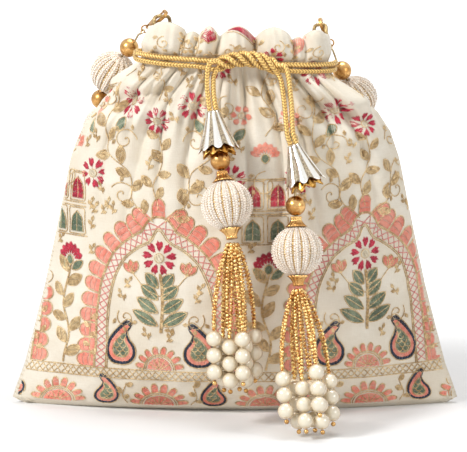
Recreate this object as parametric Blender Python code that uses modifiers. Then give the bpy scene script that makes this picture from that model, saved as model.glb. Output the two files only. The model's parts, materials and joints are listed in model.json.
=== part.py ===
"""Potli bag: an embroidered drawstring pouch with a beaded handle and two beaded tassels.

Metres, +Z up. The origin is on the flat base, under the middle of the pouch. +X is to the right
seen from the front, and the front faces -Y.
"""

import math

import bmesh
import bpy
import numpy as np
from mathutils import Matrix, Vector

MM = 0.001

# Pouch
BASE_WIDTH = 223 * MM
BELLY_DEPTH = 84 * MM
NECK_WIDTH = 92 * MM
NECK_DEPTH = 30 * MM
NECK_HEIGHT = 174 * MM
FRILL_HEIGHT = 16 * MM
FRILL_WIDTH = 90 * MM
FRILL_DEPTH = 31 * MM
FRILL_SHIFT = 2 * MM
CLOTH = 1.0 * MM
LINING_CLOTH = 0.6 * MM
NECK_TILT = 0.055
RIM_SLOPE = 0.12
PLEATS = 12
BAG_SEGMENTS = 48
LINING_SEGMENTS = 24

# Drawstrings
CORD_DIAMETER = 2.6 * MM
CORD_STACK = 3.2 * MM
KNOT_X = 6 * MM
KNOT_LENGTH = 30 * MM
KNOT_RADIUS = 2.95 * MM
KNOT_STANDOFF = 7.0 * MM
KNOT_ARCH = 4 * MM
KNOT_TURNS = 1.5
SLIT_LENGTH = 8.2 * MM

# Beaded handle
HANDLE_BALLS = 8
HANDLE_BALL_DIAMETER = 23 * MM
GOLD_BEAD_DIAMETER = 9.6 * MM
STRING_DIAMETER = 1.0 * MM
LOOP_INSET = 5 * MM
LOOP_CENTRE_X = 1.5 * MM
LOOP_THREAD = 1.8 * MM
LOOP_HALF = 4.0 * MM
LOOP_RISE = 3.0 * MM
LOOP_REACH = 4.3 * MM
# Out and down from each loop: the first two beads at that end, and the handle's widest place
LEFT_BEADS = ((15.5 * MM, -19.0 * MM), (24.5 * MM, -33.2 * MM), (29.0 * MM, -50.0 * MM))
RIGHT_BEADS = ((11.5 * MM, -25.5 * MM), (19.8 * MM, -40.2 * MM), (25.0 * MM, -56.0 * MM))

# Lobster clasps and rings
LEFT_CLASP_TILT = math.radians(45)
RIGHT_CLASP_TILT = math.radians(24)
CLASP_THICKNESS = 1.5 * MM
CLASP_BAR = 1.1 * MM
CLASP_OPENING = 5.0 * MM
CLASP_EYE_DROP = 8.9 * MM
CLASP_EYE_RADIUS = 1.6 * MM
CLASP_HOLE_RADIUS = 0.85 * MM
LEVER_THICKNESS = 0.6 * MM
PIN_DIAMETER = 0.7 * MM
RING_RADIUS = 2.1 * MM
RING_WIRE = 0.8 * MM

# Tassels
TASSEL_BALL_DIAMETER = 26 * MM
TASSEL_BEAD_DIAMETER = 10 * MM
TASSEL_STRING = 1.4 * MM
TASSEL_PIVOT = 4.5 * MM
CONE_LENGTH = 20 * MM
CONE_MOUTH = 21 * MM
CONE_TOP = 6.4 * MM
CONE_CLOTH = 0.8 * MM
CAP_HEIGHT = 5.1 * MM
CAP_MOUTH = 11.2 * MM
CAP_NECK = 5.6 * MM
CAP_WALL = 0.5 * MM
STRANDS = 8
FRINGE_DROP = 1.8 * MM
STRAND_DIAMETER = 2.3 * MM
STRAND_START = 2.1 * MM
FULLNESS = 0.8  # under 1, the strands spread close below the cap and then hang down
STRAND_LENGTHS = {"left": (47.2 * MM, 43 * MM), "right": (49 * MM, 43 * MM)}
PEARL_DIAMETER = 8 * MM
PEARLS = 3
END_SEED = 2.4 * MM
PEARL_RINGS = {"left": (5.9 * MM, 10.8 * MM), "right": (6.2 * MM, 12.5 * MM)}

# Where the tassels lie: ball centre over the front, and the middle of the lowest pearls
LEFT_BALL = (-4 * MM, 109 * MM)
LEFT_MOUTH = (-8.3 * MM, 136.5 * MM)
LEFT_END = Vector((0, -62 * MM, 18 * MM))
LEFT_CONE_TILT = 0.0
LEFT_BEAD_DROP = 0.0
RIGHT_BALL = (30.7 * MM, 86 * MM)
RIGHT_MOUTH = (29.7 * MM, 115 * MM)
RIGHT_END = Vector((37 * MM, -89 * MM, 5 * MM))
RIGHT_CONE_TILT = math.radians(16)
RIGHT_BEAD_DROP = 5 * MM

# Clearances
GAP = 0.3 * MM
BORE_CLEARANCE = 0.35 * MM
PIN_CLEARANCE = 0.08 * MM
BEAD_GAP = 0.5 * MM
REST_GAP = 0.6 * MM
CORD_END_GAP = 0.5 * MM

# Height, width and depth as shares of the way from the neck to the base and belly, then the
# section's roundness and the sharpness of its side seams
PROFILE = (
    (0.000, 0.916, 0.185, 2.0, 1.00),
    (0.017, 1.000, 0.407, 2.0, 1.00),
    (0.052, 0.970, 0.630, 2.0, 1.00),
    (0.115, 0.908, 0.815, 2.0, 0.98),
    (0.213, 0.840, 0.944, 2.0, 0.95),
    (0.351, 0.748, 1.000, 2.0, 0.90),
    (0.489, 0.672, 0.944, 2.1, 0.84),
    (0.615, 0.603, 0.796, 2.2, 0.77),
    (0.718, 0.550, 0.610, 2.4, 0.70),
    (0.805, 0.481, 0.426, 2.7, 0.62),
    (0.868, 0.382, 0.278, 3.1, 0.56),
    (0.917, 0.230, 0.140, 3.5, 0.52),
    (0.950, 0.095, 0.055, 3.8, 0.50),
    (0.972, 0.010, 0.006, 4.0, 0.50),
    (1.000, 0.000, 0.000, 4.0, 0.50),
)
# Pleat depth at a share of the neck's height, then at a share of the frill's
NECK_PLEATS = ((0.72, 0.0), (0.81, 0.4 * MM), (0.87, 0.8 * MM), (0.92, 1.1 * MM), (1.0, 1.0 * MM))
FRILL_PLEATS = ((0.4, 1.8 * MM), (0.8, 2.6 * MM), (1.0, 3.0 * MM))
LINING_SHARES = (0.115, 0.213, 0.351, 0.489, 0.615, 0.718, 0.805, 0.868, 0.920)
LINING_GAP = 0.5 * MM
LINING_TOP = 0.45

BELLY_ROW = np.array(PROFILE).T
RIM_HEIGHT = NECK_HEIGHT + FRILL_HEIGHT
CASING = NECK_PLEATS[-1][1] + GAP + CORD_DIAMETER / 2
INNER_LANE = CLOTH + CASING
OUTER_LANE = CASING + 0.6 * MM
LINING_INSET = INNER_LANE + CORD_DIAMETER / 2 + 2 * GAP
LOOP_SPAN = FRILL_WIDTH - 2 * LOOP_INSET


def collection(name, shown=True):
    made = bpy.data.collections.new(name)
    bpy.context.scene.collection.children.link(made)
    made.hide_render = not shown
    return made


for old in list(bpy.data.objects):
    bpy.data.objects.remove(old, do_unlink=True)
BAG = collection("potli_bag")
CUTTERS = collection("cutters", shown=False)


def finish(name, colour, roughness, metallic=0.0):
    made = bpy.data.materials.new(name)
    made.use_nodes = True
    shader = made.node_tree.nodes["Principled BSDF"]
    shader.inputs["Base Color"].default_value = (*colour, 1)
    shader.inputs["Roughness"].default_value = roughness
    shader.inputs["Metallic"].default_value = metallic
    return made


BROCADE = finish("ivory_brocade", (0.80, 0.71, 0.60), 0.75)
LINING = finish("cream_lining", (0.85, 0.79, 0.68), 0.6)
GOLD_CORD = finish("gold_cord", (0.62, 0.44, 0.14), 0.45)
GOLD = finish("gold_metal", (0.65, 0.42, 0.16), 0.25, 1.0)
THREAD = finish("gold_thread", (0.55, 0.44, 0.26), 0.55)
BEADWORK = finish("white_beadwork", (0.86, 0.76, 0.64), 0.4)
FOIL = finish("silver_foil_cloth", (0.82, 0.80, 0.74), 0.3, 0.4)
STRAND = finish("seed_beads_and_pearls", (0.80, 0.66, 0.42), 0.25)
STRING = finish("beading_wire", (0.55, 0.47, 0.33), 0.5)


def add(name, data, material=None, place=None, pivot=None, group=BAG):
    """A named object at a place, hung on the empty that it moves with."""
    obj = bpy.data.objects.new(name, data)
    group.objects.link(obj)
    if material is not None:
        data.materials.clear()
        data.materials.append(material)
    if place is not None:
        obj.matrix_basis = place
    if pivot is not None:
        obj.parent = pivot
        obj.matrix_parent_inverse = pivot.matrix_world.inverted()
    return obj


def joint(name, spot, pivot=None):
    """An empty on a joint's axis."""
    empty = add(name, None, place=Matrix.Translation(spot), pivot=pivot)
    empty.empty_display_size = 10 * MM
    bpy.context.view_layer.update()
    return empty


def rounded(mesh, angle=40):
    mesh.shade_smooth()
    mesh.set_sharp_from_angle(angle=math.radians(angle))
    return mesh


def plain_mesh(obj):
    """The evaluated shape of an object as a mesh of its own, with the object removed."""
    graph = bpy.context.evaluated_depsgraph_get()
    graph.update()
    mesh = bpy.data.meshes.new_from_object(obj.evaluated_get(graph))
    bm = bmesh.new()
    bm.from_mesh(mesh)
    bmesh.ops.remove_doubles(bm, verts=bm.verts, dist=0.001 * MM)
    bm.to_mesh(mesh)
    bm.free()
    bpy.data.objects.remove(obj, do_unlink=True)
    return mesh


def smoothstep(value, low, high):
    share = min(max((value - low) / (high - low), 0.0), 1.0)
    return share * share * (3 - 2 * share)


# Pouch sections


def bag_size(z):
    """Half width, half depth, roundness and seam sharpness of the pouch at a height."""
    share = z / NECK_HEIGHT
    if share <= 1:
        wide, deep, power, edge = (np.interp(share, BELLY_ROW[0], row) for row in BELLY_ROW[1:])
        half_width = (NECK_WIDTH + (BASE_WIDTH - NECK_WIDTH) * wide) / 2
        half_depth = (NECK_DEPTH + (BELLY_DEPTH - NECK_DEPTH) * deep) / 2
        return half_width, half_depth, power, edge
    rise = (z - NECK_HEIGHT) / FRILL_HEIGHT
    puff = 1.5 * MM
    half_width = np.interp(rise, (0, 0.4, 1), (NECK_WIDTH / 2, NECK_WIDTH / 2 + puff, FRILL_WIDTH / 2))
    half_depth = np.interp(rise, (0, 0.4, 1), (NECK_DEPTH / 2, NECK_DEPTH / 2 + 1 * MM, FRILL_DEPTH / 2))
    return half_width, half_depth, 4.0, 0.5


def pleat_depth(z):
    if z <= NECK_HEIGHT:
        return float(np.interp(z / NECK_HEIGHT, *zip(*NECK_PLEATS)))
    shares, depths = zip(*(((0.0, NECK_PLEATS[-1][1]),) + FRILL_PLEATS))
    return float(np.interp((z - NECK_HEIGHT) / FRILL_HEIGHT, shares, depths))


def section(z, count, smaller=0.0):
    """The pouch's outline at a height, evenly spaced and anticlockwise from +X."""
    half_width, half_depth, power, edge = bag_size(z)
    half_width, half_depth = half_width - smaller, half_depth - smaller
    x = half_width * np.cos(np.linspace(0, math.pi / 2, 400)) ** (2 / power)
    y = half_depth * np.clip(1 - (x / half_width) ** power, 0, 1) ** edge
    along = np.concatenate([[0], np.cumsum(np.hypot(np.diff(x), np.diff(y)))])
    steps = np.linspace(0, along[-1], count // 4 + 1)
    x, y = np.interp(steps, along, x), np.interp(steps, along, y)
    xs = np.concatenate([x, -x[-2::-1], -x[1:], x[-2:0:-1]])
    ys = np.concatenate([y, y[-2::-1], -y[1:], -y[-2:0:-1]])
    return np.stack([xs, ys], 1)


def moved_in(points, inset):
    """A closed outline with every side moved in by the same distance, its corners mitred."""
    sides = np.roll(points, -1, 0) - points
    sides /= np.linalg.norm(sides, axis=1)[:, None]
    after = np.stack([-sides[:, 1], sides[:, 0]], 1)
    before = np.roll(after, 1, 0)
    together = 1 + np.clip((after * before).sum(1), -0.9, 1)
    return points + inset * (after + before) / together[:, None]


def front(x, z):
    """Distance of the pouch's front or back face from the middle plane."""
    half_width, half_depth, power, edge = bag_size(z)
    inside = max(1 - (abs(x) / half_width) ** power, 0.0)
    return float(half_depth * inside**edge + pleat_depth(z))


def settled(x, y, z):
    """A point of the upright pouch after its neck has leaned down to the right."""
    lean = smoothstep(z, 0.66 * NECK_HEIGHT, 0.96 * NECK_HEIGHT)
    slid = FRILL_SHIFT * smoothstep(z, NECK_HEIGHT, RIM_HEIGHT)
    return Vector((x + slid, y, z - NECK_TILT * x * lean))


def ring(z, count, inset=0.0, pleated=True):
    """One row of the pouch: its section with the pleats laid in."""
    outline = section(z, count)
    if inset:
        outline = moved_in(outline, inset)
    points = []
    for k, (x, y) in enumerate(outline):
        depth = 0.0
        if pleated:
            calm = 1 - 0.85 * smoothstep(abs(x), 0.62 * FRILL_WIDTH / 2, 0.84 * FRILL_WIDTH / 2)
            calm = calm if z > NECK_HEIGHT else 1.0
            depth = pleat_depth(z) * calm * math.sin(2 * math.pi * PLEATS * k / count)
        before, after = outline[k - 1], outline[(k + 1) % count]
        side = Vector((after[1] - before[1], before[0] - after[0])).normalized()
        height = z
        if z > NECK_HEIGHT:
            height += -RIM_SLOPE * y * (z - NECK_HEIGHT) / FRILL_HEIGHT
            height += 0.6 * depth
        points.append(settled(x + side.x * depth, y + side.y * depth, height))
    return points


def loft(name, rings):
    """A cup: rows of points joined by faces, with a flat floor and an open rim."""
    bm = bmesh.new()
    rows = [[bm.verts.new(point) for point in row] for row in rings]
    for low, high in zip(rows, rows[1:]):
        for i in range(len(low)):
            j = (i + 1) % len(low)
            bm.faces.new((low[i], low[j], high[j], high[i]))
    bm.faces.new(rows[0][::-1])
    mesh = bpy.data.meshes.new(name)
    bm.to_mesh(mesh)
    bm.free()
    return rounded(mesh, 50)


def thicken(obj, thickness):
    solid = obj.modifiers.new("cloth", "SOLIDIFY")
    solid.thickness = thickness
    solid.offset = -1
    solid.use_even_offset = True


def cut(obj, cutter):
    boolean = obj.modifiers.new("cut", "BOOLEAN")
    boolean.operation = "DIFFERENCE"
    boolean.object = cutter
    cutter.hide_render = True
    cutter.display_type = "WIRE"


def box_cutter(name, low, high, place=None):
    bm = bmesh.new()
    bmesh.ops.create_cube(bm, size=1)
    low, high = Vector(low), Vector(high)
    bmesh.ops.scale(bm, vec=high - low, verts=bm.verts)
    bmesh.ops.translate(bm, vec=(low + high) / 2, verts=bm.verts)
    mesh = bpy.data.meshes.new(name)
    bm.to_mesh(mesh)
    bm.free()
    return add(name, mesh, place=place, group=CUTTERS)


def build_pouch():
    """The sewn outer bag, with a slit at each side for its cord, and the lining inside it."""
    heights = [row[0] * NECK_HEIGHT for row in PROFILE]
    heights += [NECK_HEIGHT + share * FRILL_HEIGHT for share, _ in FRILL_PLEATS]
    outer = add("outer_bag", loft("outer_bag", [ring(z, BAG_SEGMENTS) for z in heights]), BROCADE)
    thicken(outer, CLOTH)
    side = NECK_WIDTH / 2
    reach = 6 * MM
    for sign in (-1, 1):
        xs = sorted((sign * (side - reach), sign * (side + reach)))
        middle = settled(sign * side, 0, NECK_HEIGHT).z
        zs = sorted((middle + sign * 0.7 * MM, middle - sign * 3.6 * MM))
        ys = -GAP, SLIT_LENGTH - GAP
        cut(outer, box_cutter(f"slit_{sign}", *zip(xs, ys, zs)))

    floor = CLOTH + REST_GAP
    rows = [(floor, 5 * MM), (0.052 * NECK_HEIGHT, 3 * MM)]
    for share in LINING_SHARES:
        z = share * NECK_HEIGHT
        rows.append((z, CLOTH + LINING_GAP + pleat_depth(z) + 0.1 * MM))
    rows[-1] = (rows[-1][0], 4.2 * MM)
    rings = [ring(z, LINING_SEGMENTS, inset, pleated=False) for z, inset in rows]
    rings += [neck_ring(z) for z in (0.965 * NECK_HEIGHT, NECK_HEIGHT + LINING_TOP * FRILL_HEIGHT)]
    lining = add("lining", loft("lining", rings), LINING)
    thicken(lining, LINING_CLOTH)


def neck_ring(z):
    """A row of the lining inside the casing, where it runs straight up past the cords."""
    return [settled(x, y, z) for x, y in section(NECK_HEIGHT, LINING_SEGMENTS, LINING_INSET)]


# Tubes and turned pieces


def smooth_route(points, step=0.25 * MM):
    """Closely spaced points on a smooth curve through the given ones."""
    points = [Vector(p) for p in points]
    points = [2 * points[0] - points[1]] + points + [2 * points[-1] - points[-2]]
    dense = []
    for a, b, c, d in zip(points, points[1:], points[2:], points[3:]):
        t1 = (b - a).length ** 0.5
        t2 = t1 + (c - b).length ** 0.5
        t3 = t2 + (d - c).length ** 0.5
        count = max(int((c - b).length / step), 1)
        for i in range(count):
            t = t1 + (t2 - t1) * i / count
            ab = a.lerp(b, t / t1)
            bc = b.lerp(c, (t - t1) / (t2 - t1))
            cd = c.lerp(d, (t - t2) / (t3 - t2))
            abc = ab.lerp(bc, t / t2)
            bcd = bc.lerp(cd, (t - t1) / (t3 - t1))
            dense.append(abc.lerp(bcd, (t - t1) / (t2 - t1)))
    return dense + [points[-2]]


def thinned(dense, longest, turn=math.radians(26)):
    """The points of a dense curve that its bends need, and one at least every longest."""
    kept = [dense[0]]
    heading = (dense[1] - dense[0]).normalized()
    run = 0.0
    for before, here, after in zip(dense, dense[1:], dense[2:]):
        run += (here - before).length
        now = (after - here).normalized()
        if run >= longest or heading.angle(now, 0) >= turn:
            kept.append(here)
            heading, run = now, 0.0
    return kept + [dense[-1]]


def tube(name, points, diameter, material, sides=2, radii=None, pivot=None):
    curve = bpy.data.curves.new(name, "CURVE")
    curve.dimensions = "3D"
    spline = curve.splines.new("POLY")
    spline.points.add(len(points) - 1)
    for i, point in enumerate(points):
        spline.points[i].co = (*point, 1)
        spline.points[i].radius = radii[i] if radii else 1.0
    spline.use_smooth = True
    curve.bevel_depth = diameter / 2
    curve.bevel_resolution = sides
    curve.use_fill_caps = True
    return add(name, curve, material, pivot=pivot)


def turned_mesh(name, profile, steps):
    """A profile (radius, height), top to bottom down its outer side, turned about Z.

    It is closed, unless it starts and ends on the axis.
    """
    bm = bmesh.new()
    corners = [bm.verts.new((radius, 0, height)) for radius, height in profile]
    closing = corners[:1] if profile[0][0] > 0 else []
    for a, b in zip(corners, corners[1:] + closing):
        bm.edges.new((a, b))
    mesh = bpy.data.meshes.new(name)
    bm.to_mesh(mesh)
    bm.free()
    turned = add(name, mesh)
    screw = turned.modifiers.new("turn", "SCREW")
    screw.steps = screw.render_steps = steps
    screw.use_merge_vertices = True
    screw.merge_threshold = 0.01 * MM
    return rounded(plain_mesh(turned))


def fluted(mesh, ribs, depth, inner_radius):
    """Presses ribs into a turned shape: every second column outside inner_radius moves in."""
    for vertex in mesh.vertices:
        radius = math.hypot(vertex.co.x, vertex.co.y)
        if radius > inner_radius:
            phase = math.cos(ribs * math.atan2(vertex.co.y, vertex.co.x))
            share = (radius - depth * (0.5 - 0.5 * phase)) / radius
            vertex.co.x *= share
            vertex.co.y *= share
    return mesh


def ball_profile(radius, bore, bands):
    """A bored ball's profile: its outside from top to bottom, closed by the bore."""
    limit = math.acos(bore / radius)
    angles = np.linspace(limit, -limit, bands + 1)
    return [(radius * math.cos(a), radius * math.sin(a)) for a in angles]


def along(direction):
    """A rotation that turns +Z to a direction, and keeps +X to the right where it can."""
    z = direction.normalized()
    x = Vector((1, 0, 0)) if abs(z.x) < 0.9 else Vector((0, 1, 0))
    x = (x - z * x.dot(z)).normalized()
    return Matrix((x, z.cross(x), z)).transposed().to_4x4()


# Drawstrings


def lane(x, inset, sign):
    """A point beside the neck's wall at x, on the front (sign -1) or the back (sign 1)."""
    half_width, half_depth, power, edge = bag_size(NECK_HEIGHT)
    half_width, half_depth = half_width - inset, half_depth - inset
    return Vector((x, sign * half_depth * (1 - (abs(x) / half_width) ** power) ** edge, 0))


def half_knot(start_turn, share):
    """A point on one strand of the twist, share of the way from its left end to its right."""
    turn = start_turn + 2 * math.pi * KNOT_TURNS * share
    x = KNOT_X + KNOT_LENGTH * (share - 0.5)
    arch = KNOT_ARCH * (1 - (2 * share - 1) ** 2)
    y = -(NECK_DEPTH / 2 + KNOT_STANDOFF) + KNOT_RADIUS * math.cos(turn)
    return Vector((x, y, KNOT_RADIUS * math.sin(turn) + arch))


def drawstring(name, side, cone, starts):
    """One cord of the pair: from a tassel, through the knot, round the casing and back.

    Heights here are measured from the middle of the casing. The right cord is the left one
    turned half round the line of sight, so both the places across and the heights change sign.
    """
    neck = NECK_WIDTH / 2
    half = CORD_STACK / 2
    shares = np.linspace(1, 0, 13)
    back_start, front_start = starts
    order = slice(None) if side < 0 else slice(None, None, -1)
    first = [half_knot(back_start, share) for share in shares[order]]
    last = [half_knot(front_start, share) for share in shares[::-1][order]]

    def at(x, y, z):
        return Vector((-side * x, y, -side * z))

    def beside(x, inset, sign, z):
        point = lane(x, inset, sign)
        return at(point.x, point.y, z)

    def from_side(out, y, z):
        return at(-neck - out, y, z)

    to_back = [
        beside(-0.40 * neck, -OUTER_LANE, -1, -half),
        beside(-0.72 * neck, -OUTER_LANE, -1, -half),
        from_side(-2.2 * MM, -11.2 * MM, -half),
        from_side(3.1 * MM, -5.5 * MM, -half),
        from_side(3.9 * MM, -1.0 * MM, -1.5 * MM),
        from_side(4.1 * MM, 1.9 * MM, -0.7 * MM),
        from_side(2.8 * MM, 4.4 * MM, 0.5 * MM),
        from_side(0.0 * MM, 5.1 * MM, 1.3 * MM),
        from_side(-3.2 * MM, 5.0 * MM, half),
        from_side(-6.2 * MM, 5.6 * MM, half),
    ]
    shares_round = (-0.8, -0.6, -0.4, -0.2, 0.0, 0.2, 0.4, 0.62, 0.78, 0.88)
    around = [beside(share * neck, INNER_LANE, 1, half) for share in shares_round]
    around.append(at(neck - INNER_LANE, 0, half))
    around += [beside(share * neck, INNER_LANE, -1, half) for share in shares_round[:0:-1]]
    around += [beside(-share * neck, INNER_LANE, -1, half) for share in (0.78, 0.88)]
    to_front = [
        from_side(-3.5 * MM, -1.8 * MM, half),
        from_side(-2.5 * MM, 0.7 * MM, half),
        from_side(0.0 * MM, 1.75 * MM, half),
        from_side(2.5 * MM, 0.7 * MM, half),
        from_side(3.5 * MM, -1.8 * MM, half),
        from_side(3.1 * MM, -5.5 * MM, half),
        from_side(-2.2 * MM, -11.2 * MM, half),
        beside(-0.72 * neck, -OUTER_LANE, -1, half),
        beside(-0.40 * neck, -OUTER_LANE, -1, half),
    ]
    route = [settled_cord(p) for p in first + to_back + around + to_front + last]
    route = tail(route[0], cone, -side)[::-1] + route + tail(route[-1], cone, -side)
    tube(name, thinned(smooth_route(route), 3 * CORD_DIAMETER), CORD_DIAMETER, GOLD_CORD)


def settled_cord(point):
    return settled(point.x, point.y, NECK_HEIGHT + point.z)


def tail(start, cone, side):
    """A strand's free end, from the knot down to the top of its cone."""
    outer = start.z > NECK_HEIGHT
    apart = side * (CORD_DIAMETER + GAP) / 2 * (1 if outer else -1)
    end = cone @ Vector((apart, 0, CORD_END_GAP))
    above = cone @ Vector((apart, 0, CORD_END_GAP + 5 * MM))
    bend = start + Vector((side * (3.6 if outer else 1.5), -1.3, -0.7 if outer else -2.6)) * MM
    middle = bend.lerp(above, 0.5) + Vector((side * (1.0 if outer else 0.4) * MM, 0, 0))
    return [bend, middle, above, end]


# Handle


def build_loop(name, crest, axis, out):
    """A thread loop sewn to the back of the frill, its crest lying on the handle's axis."""
    over = [crest + axis * (out * share * LOOP_HALF) for share in (-0.25, 0, 0.25)]
    feet = []
    limit = FRILL_WIDTH / 2 - 1.5 * MM
    for share in (-1, 1):
        x = crest.x + out * share * LOOP_HALF
        x = min(max(x, FRILL_SHIFT - limit), FRILL_SHIFT + limit)
        wall = behind_frill(x)
        top = Vector((x, max(wall, crest.y - LOOP_REACH), crest.z - 2.6 * MM))
        low = Vector((x, wall, crest.z - LOOP_RISE - 3.5 * MM))
        end = over[share + 1]
        bend = Vector((end.x + 0.75 * (x - end.x), end.y + 0.2 * (top.y - end.y), crest.z - 0.5 * MM))
        feet.append([bend, top, top.lerp(low, 0.55), low])
    route = feet[0][::-1] + over + feet[1]
    tube(name, thinned(smooth_route(route), 2 * LOOP_THREAD), LOOP_THREAD, THREAD)


def behind_frill(x):
    """How far back a thread lies against the frill's back face at x."""
    half_width, half_depth, power, edge = bag_size(NECK_HEIGHT + 0.75 * FRILL_HEIGHT)
    inside = max(1 - (abs(x - FRILL_SHIFT) / half_width) ** power, 0)
    return half_depth * inside**edge + 0.15 * FRILL_PLEATS[-1][1] + GAP + LOOP_THREAD / 2 + 0.35 * MM


def plate(name, outline, thickness):
    """A flat outline as a plate of a thickness, as a mesh."""
    curve = bpy.data.curves.new(name, "CURVE")
    curve.dimensions = "2D"
    curve.fill_mode = "BOTH"
    curve.extrude = thickness / 2
    spline = curve.splines.new("POLY")
    spline.points.add(len(outline) - 1)
    for i, (x, y) in enumerate(outline):
        spline.points[i].co = (x, y, 0, 1)
    spline.use_cyclic_u = True
    return plain_mesh(add(name, curve))


def arc(centre, radius, start, end, count):
    angles = np.radians(np.linspace(start, end, count))
    return [(centre[0] + radius * math.cos(a), centre[1] + radius * math.sin(a)) for a in angles]


def cylinder(name, radius, length, place, material=None, pivot=None, group=CUTTERS):
    bm = bmesh.new()
    bmesh.ops.create_cone(bm, cap_ends=True, segments=12, radius1=radius, radius2=radius, depth=length)
    mesh = bpy.data.meshes.new(name)
    bm.to_mesh(mesh)
    bm.free()
    return add(name, rounded(mesh), material, place, pivot, group)


def build_clasp(label, place, pivot):
    """A lobster clasp: the cast hook and body, its sprung lever, and the lever's pin.

    In its own plane the thread that it hangs from is at the origin and the eye is below.
    """
    middle = (0.5 * MM, -0.2 * MM)
    inner = CLASP_OPENING / 2
    outer = inner + CLASP_BAR
    left, right = middle[0] - inner, middle[0] + inner
    eye = Vector((0, -CLASP_EYE_DROP, 0))
    pin = Vector((right - 0.35 * MM, -CLASP_EYE_DROP + 3.7 * MM, 0))
    shelf = pin.y + 0.6 * MM
    body = arc(middle, outer, 20, 180, 9)
    body += [(left - CLASP_BAR + 0.2 * MM, shelf), (eye.x - CLASP_EYE_RADIUS, eye.y + 1.6 * MM)]
    body += arc(eye, CLASP_EYE_RADIUS, 180, 360, 7)
    body += [(pin.x + 0.7 * MM, pin.y - 1.0 * MM), (pin.x + 0.9 * MM, shelf - 0.1 * MM)]
    body += [(right - 0.5 * MM, shelf), (left + 0.6 * MM, shelf), (left, shelf + 0.7 * MM)]
    body += arc(middle, inner, 180, 20, 9)
    cast = add(f"clasp_body_{label}", plate("clasp_body", body, CLASP_THICKNESS), GOLD, place, pivot)
    slot = LEVER_THICKNESS / 2 + PIN_CLEARANCE
    low = (pin.x - 1.4 * MM, pin.y - 1.3 * MM, -slot)
    high = (right + 2 * MM, shelf + 1 * MM, slot)
    cut(cast, box_cutter(f"lever_slot_{label}", low, high, place))
    reach = 2 * CLASP_THICKNESS
    hole = PIN_DIAMETER / 2 + PIN_CLEARANCE
    at_pin = place @ Matrix.Translation(pin)
    at_eye = place @ Matrix.Translation(eye)
    cut(cast, cylinder(f"pin_hole_{label}", hole, reach, at_pin))
    cut(cast, cylinder(f"eye_hole_{label}", CLASP_HOLE_RADIUS, reach, at_eye))

    tip = middle[1] + inner * math.sin(math.radians(20)) - GAP - pin.y
    face = right + 0.85 * MM - pin.x
    bar = [(right - 0.1 * MM - pin.x, tip), (-0.75 * MM, 0.6 * MM)]
    bar += arc((0, 0), 0.95 * MM, 150, 330, 6)
    bar += [(face, 1.1 * MM), (face + 0.85 * MM, 1.6 * MM), (face + 1.05 * MM, 2.4 * MM)]
    bar += [(face + 0.1 * MM, 2.7 * MM), (face, tip)]
    lever = add(f"clasp_lever_{label}", plate("clasp_lever", bar, LEVER_THICKNESS), GOLD, at_pin, pivot)
    cut(lever, cylinder(f"lever_hole_{label}", hole, reach, at_pin))
    cylinder(f"clasp_pin_{label}", PIN_DIAMETER / 2, CLASP_THICKNESS, at_pin, GOLD, pivot, BAG)


def build_ring(label, place, pivot):
    """The jump ring: it stands in the plane of the clasp's length and its eye's hole."""
    centre = Matrix.Translation((0, -CLASP_EYE_DROP - RING_RADIUS, 0))
    bpy.ops.mesh.primitive_torus_add(
        major_radius=RING_RADIUS, minor_radius=RING_WIRE / 2, major_segments=16, minor_segments=6
    )
    made = bpy.context.object
    mesh = rounded(made.data, 60)
    bpy.data.objects.remove(made)
    upright = Matrix.Rotation(math.radians(90), 4, "Y")
    add(f"jump_ring_{label}", mesh, GOLD, place @ centre @ upright, pivot)


def string_eye(place):
    """The wire's end: a loop through the jump ring, then a stem towards the first bead."""
    centre = -CLASP_EYE_DROP - 2 * RING_RADIUS
    radius = RING_WIRE / 2 + GAP + STRING_DIAMETER / 2
    loop = arc((0, centre), radius, -60, 180, 9)
    stem = [(-0.85 * radius, centre - 0.85 * MM), (-0.3 * MM, centre - 1.9 * MM), (0, centre - 2.9 * MM)]
    return [place @ Vector((*point, 0)) for point in loop + stem]


def handle_curve(drop):
    """The beads' line in the handle's own plane, sagging by drop below its widest places."""
    left = [Vector((-LOOP_SPAN / 2 - out, 0, z)) for out, z in LEFT_BEADS]
    right = [Vector((LOOP_SPAN / 2 + out, 0, z)) for out, z in RIGHT_BEADS]
    middle = (left[-1] + right[-1]) / 2
    half = (right[-1] - left[-1]) / 2
    bottom = []
    for angle in np.radians(np.linspace(12, 168, 14)):
        bottom.append(middle - half * math.cos(angle) - Vector((0, 0, drop * math.sin(angle))))
    return smooth_route(left + bottom + right[::-1], 0.5 * MM)


def lengths(points):
    steps = [(b - a).length for a, b in zip(points, points[1:])]
    return np.concatenate([[0], np.cumsum(steps)])


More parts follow.
